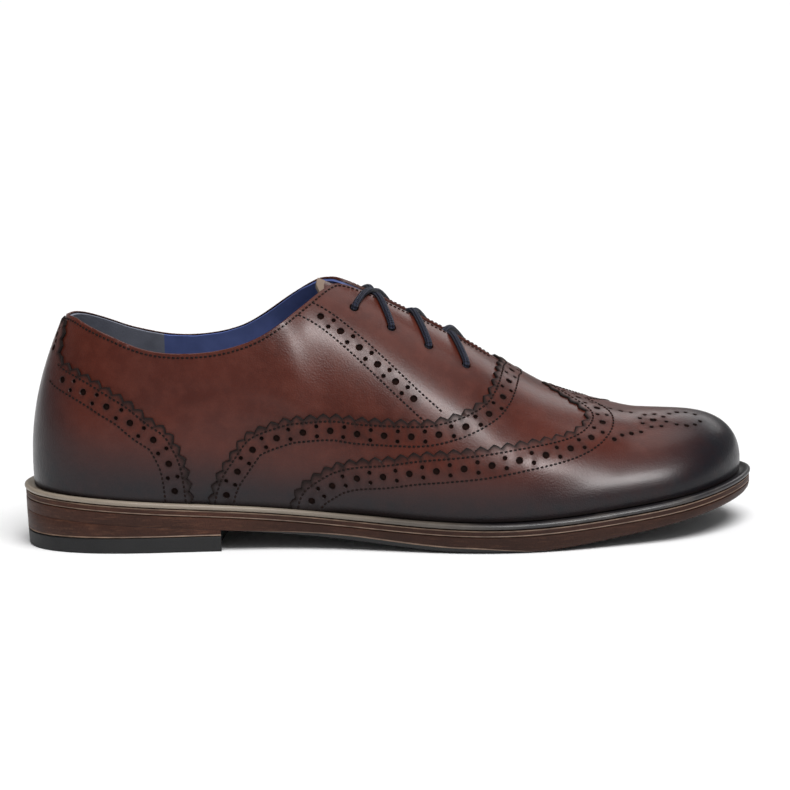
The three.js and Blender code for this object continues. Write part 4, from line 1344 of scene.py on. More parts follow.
@dataclass
class Laces:
    """One round waxed lace: from a hidden bar between the lowest eyelets up both sides to the top eyelets."""

    last: Last
    cord: bpy.types.Material
    diameter: float = 2.7
    lift: float = -0.35
    under: float = 3.2
    sides: int = 16
    sag: float = 1.0

    def run(self, side: float, over: float) -> Array:
        """Places and offsets of one half: station, place across the ridge, height over the last.

        Args:
            side: -1 starts on the outer side.
            over: how far this half passes over (or, negative, under) the other where they cross.

        Returns:
            A row of station, place across and height for each knot.
        """
        held = self.diameter / 2.0 + self.lift
        rows = [(EYELETS[3, 0], 0.0, -self.under), (EYELETS[3, 0], side * 0.14, -self.under)]
        for lower in (3, 2, 1):
            a, b = EYELETS[lower], EYELETS[lower - 1]
            last_pair = lower == 1
            shares = np.concatenate([[0.0, 0.0, 0.0], np.linspace(0.05, 0.95, 31), [1.0, 1.0, 1.0]])
            w = side * (1.0 - a[1]) * (1.0 - shares) - side * (1.0 - b[1]) * shares
            at = self.straight(a[0] + (b[0] - a[0]) * shares, w)
            if last_pair:
                height = held - (held + self.sag - over) * np.exp(-(((shares - 0.5) / 0.065) ** 2))
            else:
                height = held - (held + self.under) * ramp(0.36, 0.62, shares)
                height = height + over * np.exp(-(((shares - 0.5) / 0.09) ** 2))
            height[:3] = -self.under, -0.6, 0.75 * held
            height[-3:] = (0.75 * held, -0.6, -self.under) if last_pair else (-self.under, -self.under, -self.under)
            if last_pair:
                height[-1] = -self.under - 0.6
            rows += list(zip(at, w, height))
            side = -side
        return np.array(rows)

    def straight(self, at: Array, w: Array) -> Array:
        """Stations moved until the places lie evenly along the shoe, from the first to the last one.

        Args:
            at: stations.
            w: places across the ridge.

        Returns:
            The moved stations.
        """
        for _ in range(4):
            x = self.last.on(Chart.RIDGE, np.stack([at, w], -1))[:, 0]
            step = 0.01
            slope = (self.last.on(Chart.RIDGE, np.stack([at + step, w], -1))[:, 0] - x) / step
            share = (w - w[0]) / (w[-1] - w[0])
            at = at + (x[0] + (x[-1] - x[0]) * share - x) / slope
        return at

    def path(self, rows: Array) -> Array:
        """Smooth path through the rows in space, evened out.

        Args:
            rows: places and offsets from run.

        Returns:
            Points of the path.
        """
        points = self.last.on(Chart.RIDGE, rows[:, :2]) + (
            self.last.normals(Chart.RIDGE, rows[:, :2]) * rows[:, 2:3]
        )
        keep = np.concatenate([[True], np.linalg.norm(np.diff(points, axis=0), axis=1) > 0.25])
        points = points[keep]
        run = run_along(points)
        even = np.arange(0.0, run[-1], 0.55)
        path = np.stack([np.interp(even, run, points[:, k]) for k in range(3)], -1)
        for _ in range(3):
            path[1:-1] = 0.25 * path[:-2] + 0.5 * path[1:-1] + 0.25 * path[2:]
        return path

    def tube(self, path: Array) -> Solid:
        """Round tube along a path: its circle is turned about the path from the shoe's long direction.

        Args:
            path: points of the path.

        Returns:
            The tube, closed at both ends.
        """
        along = unit(np.gradient(path, axis=0))
        first = unit(np.array([1.0, 0.0, 0.0]) - along * along[:, :1])
        second = np.cross(along, first)
        round_it = np.arange(self.sides)
        turn = 2.0 * np.pi * round_it / self.sides
        ring = first[:, None] * np.cos(turn)[None, :, None] + second[:, None] * np.sin(turn)[None, :, None]
        points = path[:, None] + self.diameter / 2.0 * ring
        rows = len(path)
        faces = [
            grid_faces(rows, self.sides, close_columns=True),
            round_it[None, ::-1],
            (rows - 1) * self.sides + round_it[None],
        ]
        values = {"run": np.repeat(run_along(path), self.sides), "round": np.tile(turn, rows)}
        return Solid(points.reshape(-1, 3), faces, values)

    def build(self) -> float:
        """Builds both halves and returns the whole length in millimetres."""
        total = 0.0
        for name, side, over in (("lace_outer", -1.0, -1.35), ("lace_inner", 1.0, 1.35)):
            path = self.path(self.run(side, over))
            total += float(run_along(path)[-1])
            stands = ["lace_crossing_1", "lace_crossing_2", "lace_crossing_3"] if side < 0 else []
            make_piece(self.last, name, self.tube(path), [self.cord], stands)
        LOG.info("lace: %.0f mm from end to end", total)
        return total


# ---- the sole


def value_of(rule: Rule, at: Array) -> Array:
    """Values of a rule at places: its own result, or one number everywhere."""
    return rule(at) if callable(rule) else np.full(np.shape(at), rule)


@dataclass
class Sole:
    """Welt, midsole, outsole, stacked heel, lift and sock, as profiles carried round the sole's edge."""

    last: Last
    welt_leather: bpy.types.Material
    edge_leather: bpy.types.Material
    rubber: bpy.types.Material
    # Pale lines between the layers: partly wax line, partly painted highlight on rounded edges.
    line: bpy.types.Material
    sock: bpy.types.Material
    steps: int = 240
    heel_length: float = 84.0
    heel_skew: float = 4.0
    heel_taper: float = 0.3
    breast_curve: float = 3.0
    lift_height: float = 6.2
    edge_inset: float = 0.5
    upper_wall: float = 2.2
    sock_thickness: float = 3.0
    round_from: float = 84.0
    round_to: float = 144.0
    black_from: float = 180.0
    black_to: float = 238.0
    bead_radius: float = 1.1

    def ring(self, at: Array, profile: Sequence[tuple[Rule, Rule]]) -> Array:
        """Grid of a profile carried round: each point is the sole's edge moved in, at its own height.

        Args:
            at: stations.
            profile: inset and height rule of each line.

        Returns:
            Points by station and line.
        """
        columns = []
        for inset, height in profile:
            plan, _ = self.last.edge(at, value_of(inset, at))
            columns.append(np.concatenate([plan, value_of(height, plan[:, 0])[:, None]], -1))
        return np.stack(columns, 1)

    def at_seat(self, drop: float) -> Rule:
        """Height rule: a drop under the seat."""
        return lambda x: self.last.seat(x) - drop

    def by_ledge(self, share: float, more: float) -> Rule:
        """Inset rule: a share of the ledge on which the upper stands, and a fixed amount."""
        return lambda at: share * self.last.loop.value(at)[..., 2] + more

    def around(self) -> Array:
        """Even stations round the whole sole."""
        return np.linspace(0.0, self.last.whole, self.steps, endpoint=False)

    def cap(self, inset: Rule, height: Rule, across: int = 14) -> tuple[Array, Array]:
        """Closing sheet of a slab: straight strips from the outer edge to the inner one.

        Args:
            inset: rule of the edge's inset.
            height: rule of the sheet's height.
            across: points in a strip.

        Returns:
            The points and the faces.
        """
        at = np.linspace(0.0, self.last.toe, self.steps // 2 + 1)
        far = self.last.whole - at
        outer, _ = self.last.edge(at, value_of(inset, at))
        inner, _ = self.last.edge(far, value_of(inset, far))
        share = np.linspace(0.0, 1.0, across)[None, :, None]
        plan = outer[:, None] * (1.0 - share) + inner[:, None] * share
        points = np.concatenate([plan, value_of(height, plan[..., 0])[..., None]], -1)
        return points.reshape(-1, 3), grid_faces(len(at), across)

    def slab(self, name: str, profile: Sequence[tuple[Rule, Rule]], materials: Sequence[bpy.types.Material],
             slots: Sequence[int], node: str, bottom_slot: int = 0,
             plain: tuple[int, float, float] | None = None) -> None:
        """Closed slab: its profile runs from the top edge down to the bottom edge; both ends are covered.

        Args:
            name: the piece's name.
            profile: inset and height rules of each line round the edge.
            materials: one for each slot number.
            slots: slot number of each strip of the profile.
            node: node of the part that it replaces.
            bottom_slot: slot number of the bottom.
            plain: a slot number used only between two distances from the heel back, and slot 0 elsewhere.
        """
        side = self.ring(self.around(), profile)
        rows, columns = side.shape[:2]
        faces = grid_faces(rows, columns, close_rows=True)[:, ::-1]
        marks = np.tile(np.array(slots), rows)
        if plain:
            here = np.repeat(side[:, 0, 0], columns - 1)
            marks = np.where((marks == plain[0]) & ((here < plain[1]) | (here > plain[2])), 0, marks)
        top_points, top = self.cap(*profile[0])
        low_points, low = self.cap(*profile[-1])
        points = np.concatenate([side.reshape(-1, 3), top_points, low_points])
        first = rows * columns
        top, low = top + first, low[:, ::-1] + first + len(top_points)
        order = np.concatenate([marks, np.zeros(len(top)), np.full(len(low), bottom_slot)])
        make_piece(self.last, name, Solid(points, [faces, top, low], {}, order), materials, [node],
                   crease=35.0, weld=0.004)

    def build_welt(self) -> None:
        """Welt: a round bead outside, a groove inside it and a lip that meets the upper."""
        radius, base = self.bead_radius, self.last.gap + self.last.welt
        profile: list[tuple[Rule, Rule]] = [
            (radius * 1.1 * (1.0 - math.cos(turn)), self.at_seat(base - radius * (1.0 + math.sin(turn))))
            for turn in np.linspace(-0.5 * math.pi, 0.8 * math.pi, 10)
        ]
        profile += [
            (self.by_ledge(share, more), self.at_seat(drop))
            for share, more, drop in (
                (0.3, 1.7, 0.95), (0.7, 0.6, 0.6), (1.0, 0.1, 0.3), (1.0, 4.0, 0.32), (1.0, 4.0, base),
            )
        ]
        side = self.ring(self.around(), profile)
        faces = grid_faces(*side.shape[:2], close_rows=True, close_columns=True)
        make_piece(self.last, "welt_bead", Solid(side.reshape(-1, 3), [faces]), [self.welt_leather],
                   ["welt"], crease=50.0)

    def build_midsole(self) -> None:
        """Midsole: two thin light lines above and below its leather, partly painted highlight on its rounded edges."""
        top = self.last.welt + 2 * self.last.gap
        thick = self.last.midsole
        rows = ((0.55, 0.0), (0.05, 0.12), (0.0, 0.35), (0.12, 0.5), (0.0, 0.65),
                (0.0, thick - 0.6), (0.12, thick - 0.45), (0.0, thick - 0.3), (0.15, thick))
        profile = [(self.edge_inset + inset, self.at_seat(top + drop)) for inset, drop in rows]
        self.slab("midsole_edge", profile, [self.edge_leather, self.line], [1, 1, 1, 0, 0, 0, 1, 1],
                  "midsole")

    def rounding(self, before: float, beyond: float) -> tuple[Rule, Rule]:
        """Inset and height of a line on the rounded lower edge, by its share s of the way under the shoe.

        The inset grows with the square of s and the height over the bottom falls with the square of 1 - s.

        Args:
            before: share of the brown wall's part of the way.
            beyond: share of the black rim's part of the way.

        Returns:
            The rule of its inset and that of its height.
        """
        def share(x: Array) -> Array:
            """Share s of the way, from the two parts."""
            brown = 0.9 * ramp(self.black_from, self.black_to, x)
            return brown * before + (1.0 - brown) * beyond

        def inset(at: Array) -> Array:
            """Inset at stations."""
            x = self.last.loop.value(at)[..., 0]
            return self.edge_inset + 0.2 + ramp(self.round_from, self.round_to, x) * 3.0 * share(x) ** 2

        def height(x: Array) -> Array:
            """Height at distances from the heel back."""
            rounded = ramp(self.round_from, self.round_to, x)
            return self.last.floor_line(x) + rounded * 2.8 * (1.0 - share(x)) ** 2
        return inset, height

    def build_outsole(self) -> None:
        """Outsole: brown wall over a rounded black edge, with a light line between them, partly painted highlight, that
        runs out at the toe.
        """
        top = self.last.welt + self.last.midsole + 3 * self.last.gap
        e = self.edge_inset
        start = self.rounding(0.0, 0.0)[1]
        profile: list[tuple[Rule, Rule]] = [
            (e + 0.4, self.at_seat(top)),
            (e, self.at_seat(top + 0.3)),
            (e, lambda x: start(x) + 0.3),
            (e + 0.1, lambda x: start(x) + 0.06),
        ]
        profile += [self.rounding(share, 0.0) for share in (0.3, 0.7, 1.0)]
        profile += [self.rounding(1.0, share) for share in (0.1, 0.3, 0.5, 0.7, 0.86, 1.0)]
        self.slab("outsole_edge", profile, [self.edge_leather, self.line, self.rubber],
                  [0, 0, 0, 0, 0, 0, 1, 2, 2, 2, 2, 2], "outsole", bottom_slot=2,
                  plain=(1, self.round_from + 4.0, self.black_to - 12.0))

    def build_sock(self) -> None:
        """Sock over the insole: a thin cover whose edge is turned down."""
        hold, thick = self.upper_wall + 0.3, self.sock_thickness
        rows = ((1.6, -thick), (0.5, 0.25 - thick), (0.0, 0.9 - thick), (0.0, 0.0))
        profile = [(self.by_ledge(1.0, hold + more), self.at_seat(drop)) for more, drop in rows]
        self.slab("sock", profile, [self.sock], [0, 0, 0], "insole")

    def heel_loop(self, inset: float) -> Array:
        """Plan of the heel: round its back from the outer breast corner, then along the hollow breast."""
        table = np.linspace(0.0, self.last.ridge_from, 2001)
        ends = np.interp([self.heel_length + self.heel_skew, self.heel_length], self.last.loop.value(table)[:, 0],
                         table)
        at = np.linspace(-ends[0], ends[1], 110)
        plan, _ = self.last.edge(np.mod(at, self.last.whole), np.full(len(at), inset))
        share = np.linspace(0.0, 1.0, 24)[1:-1, None]
        breast = plan[-1] * (1.0 - share) + plan[0] * share
        breast[:, 0] -= self.breast_curve * 4.0 * (share * (1.0 - share))[:, 0] + 0.25 * inset
        return np.concatenate([plan, breast])

    def heel_block(self, name: str, levels: Sequence[tuple[float, Rule]], materials: Sequence[bpy.types.Material],
                   slots: Sequence[int], node: str) -> None:
        """Block of the heel: its plan at several insets and heights, top first, closed by two flat faces.

        Args:
            name: the piece's name.
            levels: inset and height rule of each line round it.
            materials: one for each slot number.
            slots: slot number of each strip between two lines.
            node: node of the part that it replaces.
        """
        grid = []
        for inset, height in levels:
            plan = self.heel_loop(inset)
            grid.append(np.concatenate([plan, value_of(height, plan[:, 0])[:, None]], -1))
        points = np.stack(grid, 1)
        rows, columns = points.shape[:2]
        faces = grid_faces(rows, columns, close_rows=True)[:, ::-1]
        ids = np.arange(rows) * columns
        marks = np.concatenate([np.tile(np.array(slots), rows), [0], [slots[-1]]])
        solid = Solid(points.reshape(-1, 3), [faces, ids[None], (ids + columns - 1)[None, ::-1]], {}, marks)
        make_piece(self.last, name, solid, materials, [node], crease=35.0)

    def build_heel(self) -> None:
        """Stack of leather with a light line above the lift, partly painted highlight, and the black lift."""
        lift = self.lift_height
        line = lift + self.last.gap
        e, t = self.edge_inset, self.heel_taper
        stack = [
            (e + 0.1, lambda x: self.last.floor_line(x) - 0.05),
            (e, lambda x: self.last.floor_line(x) - 0.25),
            (e + 0.5 * t, line + 0.75),
            (e + 0.5 * t + 0.1, line + 0.6),
            (e + 0.5 * t - 0.05, line + 0.3),
            (e + 0.5 * t + 0.3, line),
        ]
        self.heel_block("heel_stack_edge", stack, [self.edge_leather, self.line], [0, 0, 0, 1, 1],
                        "heel_stack")
        block = [(e + 0.5 * t + 0.25, lift), (e + 0.5 * t, lift - 0.3), (e + t, 0.5), (e + t + 0.5, 0.0)]
        self.heel_block("heel_lift_edge", block, [self.rubber], [0, 0, 0], "heel_lift")

    def build(self) -> None:
        """Builds every piece of the sole."""
        self.build_welt()
        self.build_midsole()
        self.build_outsole()
        self.build_sock()
        self.build_heel()


# ---- finishes


def linear(code: str) -> tuple[float, float, float, float]:
    """Turns an sRGB hex colour to linear: the usual curve, a straight part below 0.04045 and a power above."""
    parts = [int(code[k:k + 2], 16) / 255.0 for k in (1, 3, 5)]
    values = [p / 12.92 if p <= 0.04045 else ((p + 0.055) / 1.055) ** 2.4 for p in parts]
    return (values[0], values[1], values[2], 1.0)


def per_mm(size: float) -> float:
    """Texture scale for features of a size in millimetres, on coordinates in metres."""
    return 1000.0 / size


class Finish:
    """Node tree of one material, with one function that adds nodes."""

    def __init__(self, name: str) -> None:
        """Starts an empty material with its output."""
        self.material = bpy.data.materials.new(name)
        self.material.use_nodes = True
        self.tree = self.material.node_tree
        self.tree.nodes.clear()
        self.output = self.tree.nodes.new("ShaderNodeOutputMaterial")

    def add(self, kind: str, inputs: dict | None = None, **settings: object) -> bpy.types.Node:
        """Adds a node with its settings; each input is a value or the socket that feeds it.

        Args:
            kind: the node's type.
            inputs: socket names or numbers with what they get.
            settings: the node's own properties.

        Returns:
            The new node.
        """
        item = self.tree.nodes.new(kind)
        for key, value in settings.items():
            setattr(item, key, value)
        for key, value in (inputs or {}).items():
            if isinstance(value, bpy.types.NodeSocket):
                self.tree.links.new(value, item.inputs[key])
            else:
                item.inputs[key].default_value = value
        return item

    def mix(self, share: object, first: object, second: object) -> bpy.types.NodeSocket:
        """Colour between two, by a share."""
        blend = self.add("ShaderNodeMix", data_type="RGBA")
        for index, value in ((0, share), (6, first), (7, second)):
            if isinstance(value, bpy.types.NodeSocket):
                self.tree.links.new(value, blend.inputs[index])
            else:
                blend.inputs[index].default_value = value
        return blend.outputs[2]

    def calc(self, operation: str, *values: object, clamp: bool = False) -> bpy.types.NodeSocket:
        """Result of a math node."""
        return self.add("ShaderNodeMath", dict(enumerate(values)), operation=operation, use_clamp=clamp).outputs[0]

    def spread(self, value: object, low: float, high: float, to_low: float, to_high: float) -> bpy.types.NodeSocket:
        """A value's range mapped to another, held at its ends.

        Args:
            value: what to map.
            low: start of its range.
            high: end of its range.
            to_low: result at the start.
            to_high: result at the end.

        Returns:
            The socket with the result.
        """
        return self.add("ShaderNodeMapRange", {0: value, 1: low, 2: high, 3: to_low, 4: to_high}).outputs[0]

    def noise(self, where: object, size: float, detail: float = 3.0, rough: float = 0.5) -> bpy.types.NodeSocket:
        """Noise whose features have a size in millimetres."""
        return self.add("ShaderNodeTexNoise", {
            "Vector": where, "Scale": per_mm(size), "Detail": detail, "Roughness": rough,
        }).outputs["Fac"]

    def bump(self, height: object, depth: float, strength: float = 1.0, under: object = None) -> bpy.types.NodeSocket:
        """Bump of a depth in millimetres, over another one if given.

        Args:
            height: the relief.
            depth: millimetres.
            strength: share of it that counts.
            under: a bump that it lies on.

        Returns:
            The socket with the normal.
        """
        inputs = {"Height": height, "Distance": depth * 0.001, "Strength": strength}
        if under is not None:
            inputs["Normal"] = under
        return self.add("ShaderNodeBump", inputs).outputs[0]

    def finish(self, **sockets: object) -> bpy.types.Material:
        """Ends the tree in a principled shader with the given sockets."""
        shader = self.add("ShaderNodeBsdfPrincipled", {key.replace("_", " "): value for key, value in sockets.items()})
        self.tree.links.new(shader.outputs[0], self.output.inputs[0])
        return self.material


@dataclass(frozen=True)
class PolishedLeather:
    """Calf leather, aniline dyed and rubbed to a shine by hand: fine pores, cloudy colour, a dark polished toe and
    heel, dark cut edges, and painted shade near the sole and round the holes.
    """

    name: str = "calf_leather_burnished"
    body: str = "#4f1e12"
    light: str = "#602a1b"
    deep: str = "#3f150b"
    # Dark polished colour of toe and heel, also used as painted shade near the sole.
    polish_and_shade_colour: str = "#100e15"
    cut_edge: str = "#160b09"
    pore: float = 0.7

    def make(self) -> bpy.types.Material:
        """Cloudy dye; by one value a polished toe and heel and, near the sole, polished finish with painted shade; by
        the edge value dark cut edges and painted shade round the holes.
        """
        f = Finish(self.name)
        where = f.add("ShaderNodeTexCoord").outputs["Object"]
        cloud = f.noise(where, 38.0, 4.0, 0.55)
        mottle = f.noise(where, 6.0, 4.0, 0.6)
        pores = f.add("ShaderNodeTexVoronoi", {"Vector": where, "Scale": per_mm(self.pore)},
                      feature="F1").outputs["Distance"]
        polish_and_shade_share = f.add("ShaderNodeAttribute", attribute_name="polish_and_low_shade").outputs["Fac"]
        edge = f.add("ShaderNodeAttribute", attribute_name="edge").outputs["Fac"]
        colour = f.mix(f.spread(cloud, 0.35, 0.68, 0.0, 1.0), linear(self.deep), linear(self.body))
        colour = f.mix(f.spread(mottle, 0.45, 0.75, 0.0, 0.5), colour, linear(self.light))
        # Dark share: polished finish at toe and heel, painted shade near the sole, with a little random change.
        dark = f.calc("ADD", polish_and_shade_share, f.spread(mottle, 0.3, 0.7, -0.08, 0.08), clamp=True)
        colour = f.mix(dark, colour, linear(self.polish_and_shade_colour))
        colour = f.mix(edge, colour, linear(self.cut_edge))
        grain = f.bump(pores, 0.10, 0.7)
        wave = f.bump(f.noise(where, 2.4, 3.0, 0.6), 0.10, 0.3, grain)
        rough = f.spread(mottle, 0.3, 0.7, 0.34, 0.44)
        rough = f.calc("ADD", rough, f.calc("MULTIPLY", edge, 0.3))
        wax = f.calc("MULTIPLY_ADD", edge, -0.34, 0.34)
        return f.finish(Base_Color=colour, Roughness=rough, Normal=wave, Coat_Weight=wax, Coat_Roughness=0.25,
                        IOR=1.26)


@dataclass(frozen=True)
class PlainFinish:
    """One dyed or moulded surface with cloudy colour and fine relief."""

    name: str
    body: str
    other: str
    cloud: float
    relief: float
    depth: float
    rough: float
    coat: float = 0.0
    bend: float = 1.45

    def make(self) -> bpy.types.Material:
        """Noise between two colours, and a bump of the same fineness."""
        f = Finish(self.name)
        where = f.add("ShaderNodeTexCoord").outputs["Object"]
        colour = f.mix(f.spread(f.noise(where, self.cloud), 0.3, 0.7, 0.0, 1.0), linear(self.body), linear(self.other))
        relief = f.noise(where, self.relief, 4.0, 0.6)
        rough = f.spread(relief, 0.3, 0.7, self.rough - 0.06, self.rough + 0.06)
        return f.finish(Base_Color=colour, Roughness=rough, Normal=f.bump(relief, self.depth, 0.6),
                        Coat_Weight=self.coat, Coat_Roughness=0.3, IOR=self.bend)


@dataclass(frozen=True)
class WeltFinish:
    """Welt leather, stained and waxed: worn grey brown at the heel, black towards the toe."""

    name: str = "welt_leather_waxed"
    heel: str = "#8b7f71"
    toe: str = "#1b181b"
    turn_from: float = -0.06
    turn_to: float = 0.05

    def make(self) -> bpy.types.Material:
        """Colour by the place along the shoe, clouded by noise, with a fine grain."""
        f = Finish(self.name)
        where = f.add("ShaderNodeTexCoord").outputs["Object"]
        along = f.add("ShaderNodeSeparateXYZ", {"Vector": where}).outputs["X"]
        cloud = f.spread(f.noise(where, 14.0), 0.3, 0.7, -0.12, 0.12)
        share = f.calc("ADD", f.spread(along, self.turn_from, self.turn_to, 0.0, 1.0), cloud, clamp=True)
        colour = f.mix(share, linear(self.heel), linear(self.toe))
        relief = f.noise(where, 0.8, 4.0, 0.6)
        return f.finish(Base_Color=colour, Roughness=0.42, Normal=f.bump(relief, 0.05, 0.6), Coat_Weight=0.2,
                        Coat_Roughness=0.3)


@dataclass(frozen=True)
class StackedEdge:
    """Leather sole edge, sanded, stained and waxed: fine level lines of its plies and short upright fibres."""

    name: str = "sole_edge_stained"
    body: str = "#482a1f"
    light: str = "#6b4734"
    dark: str = "#26150f"
    ply: float = 0.7
    fore_from: float = -0.075
    fore_to: float = -0.04

    def make(self) -> bpy.types.Material:
        """Level lines from height, broken by noise, and upright fibres."""
        f = Finish(self.name)
        where = f.add("ShaderNodeTexCoord").outputs["Object"]
        flat = f.add("ShaderNodeMapping", {"Vector": where, "Scale": (0.10, 0.10, 1.0)}).outputs[0]
        lines = f.noise(flat, self.ply, 2.0, 0.7)
        upright = f.add("ShaderNodeMapping", {"Vector": where, "Scale": (1.0, 1.0, 0.45)}).outputs[0]
        fibre = f.noise(upright, 0.45, 3.0, 0.7)
        cloud = f.noise(where, 22.0, 3.0, 0.5)
        colour = f.mix(f.spread(cloud, 0.3, 0.7, 0.0, 0.7), linear(self.body), linear(self.dark))
        colour = f.mix(f.spread(lines, 0.52, 0.70, 0.0, 0.4), colour, linear(self.light))
        colour = f.mix(f.spread(fibre, 0.50, 0.66, 0.0, 0.65), colour, linear(self.dark))
        along = f.add("ShaderNodeSeparateXYZ", {"Vector": where}).outputs["X"]
        colour = f.mix(f.spread(along, self.fore_from, self.fore_to, 0.0, 0.5), colour, linear(self.dark))
        relief = f.bump(fibre, 0.08, 0.5, f.bump(lines, 0.12, 0.6))
        return f.finish(Base_Color=colour, Roughness=f.spread(fibre, 0.3, 0.7, 0.45, 0.62), Normal=relief,
                        Coat_Weight=0.06, Coat_Roughness=0.35, IOR=1.25)


@dataclass(frozen=True)
class BraidedLace:
    """Waxed cotton lace, braided round: two sets of strands that cross along its length."""

    name: str = "waxed_cotton_braid"
    body: str = "#080b18"
    # Lighter colour on the strands' crests, beside painted shade in the grooves.
    light: str = "#1d223c"
    wax: str = "#2c3450"
    strand: float = 1.6
    strands: float = 4.0

    def make(self) -> bpy.types.Material:
        """Product of two slanting waves, from the run along the lace and the turn round it; it raises the strands and
        colours them with painted shade in the grooves and lighter crests.
        """
        f = Finish(self.name)
        run = f.add("ShaderNodeAttribute", attribute_name="run").outputs["Fac"]
        turn = f.add("ShaderNodeAttribute", attribute_name="round").outputs["Fac"]
        along = f.calc("MULTIPLY", run, 2.0 * math.pi / self.strand)
        about = f.calc("MULTIPLY", turn, self.strands)
        one = f.calc("SINE", f.calc("ADD", along, about))
        two = f.calc("SINE", f.calc("SUBTRACT", along, about))
        weave = f.calc("MULTIPLY", one, two)
        where = f.add("ShaderNodeTexCoord").outputs["Object"]
        # Colour by the weave: painted shade in the grooves between strands, lighter on their crests.
        colour = f.mix(f.spread(weave, -0.8, 0.9, 0.0, 1.0), linear(self.body), linear(self.light))
        colour = f.mix(f.spread(f.noise(where, 0.5), 0.6, 0.75, 0.0, 0.5), colour, linear(self.wax))
        return f.finish(Base_Color=colour, Roughness=0.55, Normal=f.bump(weave, 0.4, 1.0), IOR=1.4)


# ---- the picture


@dataclass
class View:
    """Camera of the photograph, found from the shoe's outline, in millimetres from the heel back."""

    last: Last
    distance: float = 1200.0
    height: float = 272.0
    turned: float = 3.0
    rolled: float = 2.2
    pixels_per_mm: float = 2.41
    aim: tuple[float, float] = (388.0, 529.0)
    frame: float = 790.0
    sensor: float = 36.0

    def build(self) -> bpy.types.Object:
        """Places the camera so that the sole's middle on the floor falls on its pixel.

        Returns:
            The camera.
        """
        around, roll = math.radians(self.turned), math.radians(self.rolled)
        target = np.array([self.last.length / 2.0, 0.0, 0.0])
        stand = target + np.array([self.distance * math.sin(around), -self.distance * math.cos(around), self.height])
        reach = np.linalg.norm(target - stand)
        focal = self.pixels_per_mm * reach
        ahead = (target - stand) / reach
        right = unit(np.cross(ahead, [0.0, 0.0, 1.0]))
        above = np.cross(right, ahead)
        dx, dy = self.aim[0] - self.frame / 2.0, self.aim[1] - self.frame / 2.0
        yaw = math.atan2(dx * math.cos(roll) - dy * math.sin(roll), focal)
        pitch = math.atan2(dx * math.sin(roll) + dy * math.cos(roll), focal)
        ahead = unit(ahead * math.cos(yaw) * math.cos(pitch) - right * math.sin(yaw) + above * math.sin(pitch))
        right = unit(np.cross(ahead, [0.0, 0.0, 1.0]))
        above = np.cross(right, ahead)
        across = right * math.cos(roll) - above * math.sin(roll)
        upward = right * math.sin(roll) + above * math.cos(roll)
        lens = bpy.data.cameras.new("camera")
        lens.sensor_width = self.sensor
        lens.lens = focal * self.sensor / self.frame
        lens.clip_start, lens.clip_end = 0.05, 60.0
        camera = bpy.data.objects.new("camera", lens)
        bpy.context.scene.collection.objects.link(camera)
        place = (stand - self.last.origin) * 0.001
        camera.matrix_world = Matrix((
            (across[0], upward[0], -ahead[0], place[0]),
            (across[1], upward[1], -ahead[1], place[1]),
            (across[2], upward[2], -ahead[2], place[2]),
            (0.0, 0.0, 0.0, 1.0),
        ))
        bpy.context.scene.camera = camera
        return camera


# Soft boxes that show as highlights, in metres: name, place, point looked at, width and height, watts.
SOFT_BOXES: tuple[tuple, ...] = (
    ("key_box", (0.1, -0.77, 0.82), (-0.02, 0.0, 0.05), (0.47, 0.14), 7.6),
    ("toe_box", (0.56, -0.9, 0.62), (0.1, 0.0, 0.03), (0.28, 0.32), 8.6),
    ("back_box", (0.5, 0.8, 0.7), (0.05, 0.0, 0.05), (0.9, 0.35), 2.4),
    ("top_box", (0.1, 0.2, 1.2), (0.0, 0.0, 0.0), (1.0, 0.8), 5.5),
)


@dataclass
class Studio:
    """Pale floor, an even sky, a wide soft light from above and soft boxes, in metres."""

    floor_size: float = 40.0
    sky: float = 0.22
    overhead: float = 3.1
    overhead_width: float = 40.0
    overhead_aim: tuple[float, float, float] = (-0.22, 0.42, -1.0)

    def _hang(self, lamp: bpy.types.Light, aim: Vector) -> bpy.types.Object:
        """Puts a lamp in the scene, turned to a direction."""
        light = bpy.data.objects.new(lamp.name, lamp)
        bpy.context.scene.collection.objects.link(light)
        light.rotation_euler = aim.to_track_quat("-Z", "Y").to_euler()
        return light

    def softbox(self, name: str, place: tuple[float, float, float], aim: tuple[float, float, float],
                size: tuple[float, float], power: float) -> None:
        """Adds a rectangular area light that looks at a point and shows in highlights only.

        Args:
            name: the lamp's name.
            place: where it hangs.
            aim: the point it looks at.
            size: width and height.
            power: watts.
        """
        lamp = bpy.data.lights.new(name, "AREA")
        lamp.shape = "RECTANGLE"
        lamp.size, lamp.size_y = size
        lamp.energy = power
        light = self._hang(lamp, Vector(aim) - Vector(place))
        light.location = place
        light.visible_diffuse = False

    def build(self) -> None:
        """Builds floor, sky and lights."""
        half = self.floor_size / 2.0
        mesh = bpy.data.meshes.new("floor")
        mesh.from_pydata([(-half, -half, 0), (half, -half, 0), (half, half, 0), (-half, half, 0)], [], [(0, 1, 2, 3)])
        floor = bpy.data.objects.new("floor", mesh)
        bpy.context.scene.collection.objects.link(floor)
        mesh.materials.append(PlainFinish("paper_floor", "#fcfcfd", "#fdfdfd", 300.0, 3.0, 0.0, 0.9).make())
        world = bpy.data.worlds.new("studio")
        world.use_nodes = True
        sky = world.node_tree.nodes["Background"]
        sky.inputs[0].default_value = (1.0, 1.0, 1.0, 1.0)
        sky.inputs[1].default_value = self.sky
        bpy.context.scene.world = world
        bpy.context.scene.view_settings.view_transform = "Standard"
        lamp = bpy.data.lights.new("overhead", "SUN")
        lamp.energy, lamp.angle = self.overhead, math.radians(self.overhead_width)
        self._hang(lamp, Vector(self.overhead_aim)).visible_glossy = False
        for box in SOFT_BOXES:
            self.softbox(*box)


# ---- the shoe


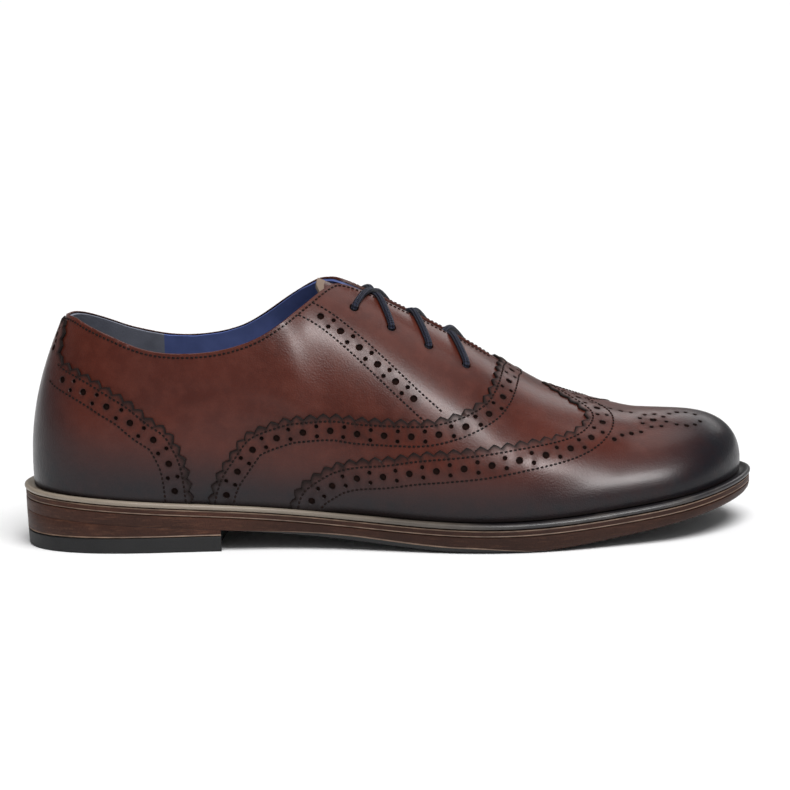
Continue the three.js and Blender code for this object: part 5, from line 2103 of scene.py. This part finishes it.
def fit_origin(last: Last) -> None:
    """Sets the shift between the last and the part's frame from the welt's box in that frame."""
    low, high = (np.array(corner) * 1000.0 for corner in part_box("welt"))
    plan, _ = last.edge(np.linspace(0.0, 24.0, 961))
    last.origin = np.array([plan[:, 0].max() - high[0], plan[:, 1].max() - high[1], 0.0])


def main() -> None:
    """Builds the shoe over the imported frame."""
    logging.basicConfig(level=logging.INFO, format="%(name)s: %(message)s")
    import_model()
    last = Last()
    fit_origin(last)
    View(last).build()
    Studio().build()
    leather = PolishedLeather().make()
    # Near-black and quite matt: painted shade on the floors and walls of the punched holes; it also covers the panels'
    # undersides.
    punched = PlainFinish("punched_hole_shade", "#130a08", "#20110d", 3.0, 0.6, 0.05, 0.9, bend=1.15).make()
    # Waxed linen thread: dark, with a dull sheen.
    thread = PlainFinish("waxed_thread_brown", "#120a0a", "#22130f", 2.0, 0.4, 0.05, 0.6, bend=1.2).make()
    # Lining leather, dyed through: smooth, even blue, half matt.
    lining = PlainFinish("lining_leather_navy", "#5464a0", "#46568d", 9.0, 0.8, 0.06, 0.6).make()
    # Suede heel lining, buffed: slate grey and matt.
    lining_dark = PlainFinish("lining_suede_slate", "#787b88", "#656875", 9.0, 0.7, 0.10, 0.85).make()
    cord = BraidedLace().make()
    welt = WeltFinish().make()
    edge = StackedEdge().make()
    # Moulded rubber: black, half matt.
    rubber = PlainFinish("heel_rubber_black", "#08080a", "#0e0e10", 8.0, 0.6, 0.05, 0.6).make()
    # Pale tan lines along the sole's layer edges, dull: partly a wax line left by the edge iron, partly painted
    # highlight on the rounded layer edges.
    line = PlainFinish("wax_line_and_edge_highlight_tan", "#8c7361", "#5d493c", 6.0, 0.8, 0.03, 0.5).make()
    # Sock leather, dyed through: dark blue, half matt.
    sock = PlainFinish("sock_leather_navy", "#26304a", "#1f2840", 12.0, 0.8, 0.06, 0.6).make()
    # Undyed lining leather of the tongue: beige and matt.
    beige = PlainFinish("tongue_lining_beige", "#8f7d70", "#827064", 9.0, 0.9, 0.06, 0.85, bend=1.2).make()
    Upper(last, leather, punched, thread, lining, lining_dark).build()
    Tongue(last, leather, beige).build()
    Laces(last, cord).build()
    Sole(last, welt, edge, rubber, line, sock).build()


if __name__ == "__main__":
    main()
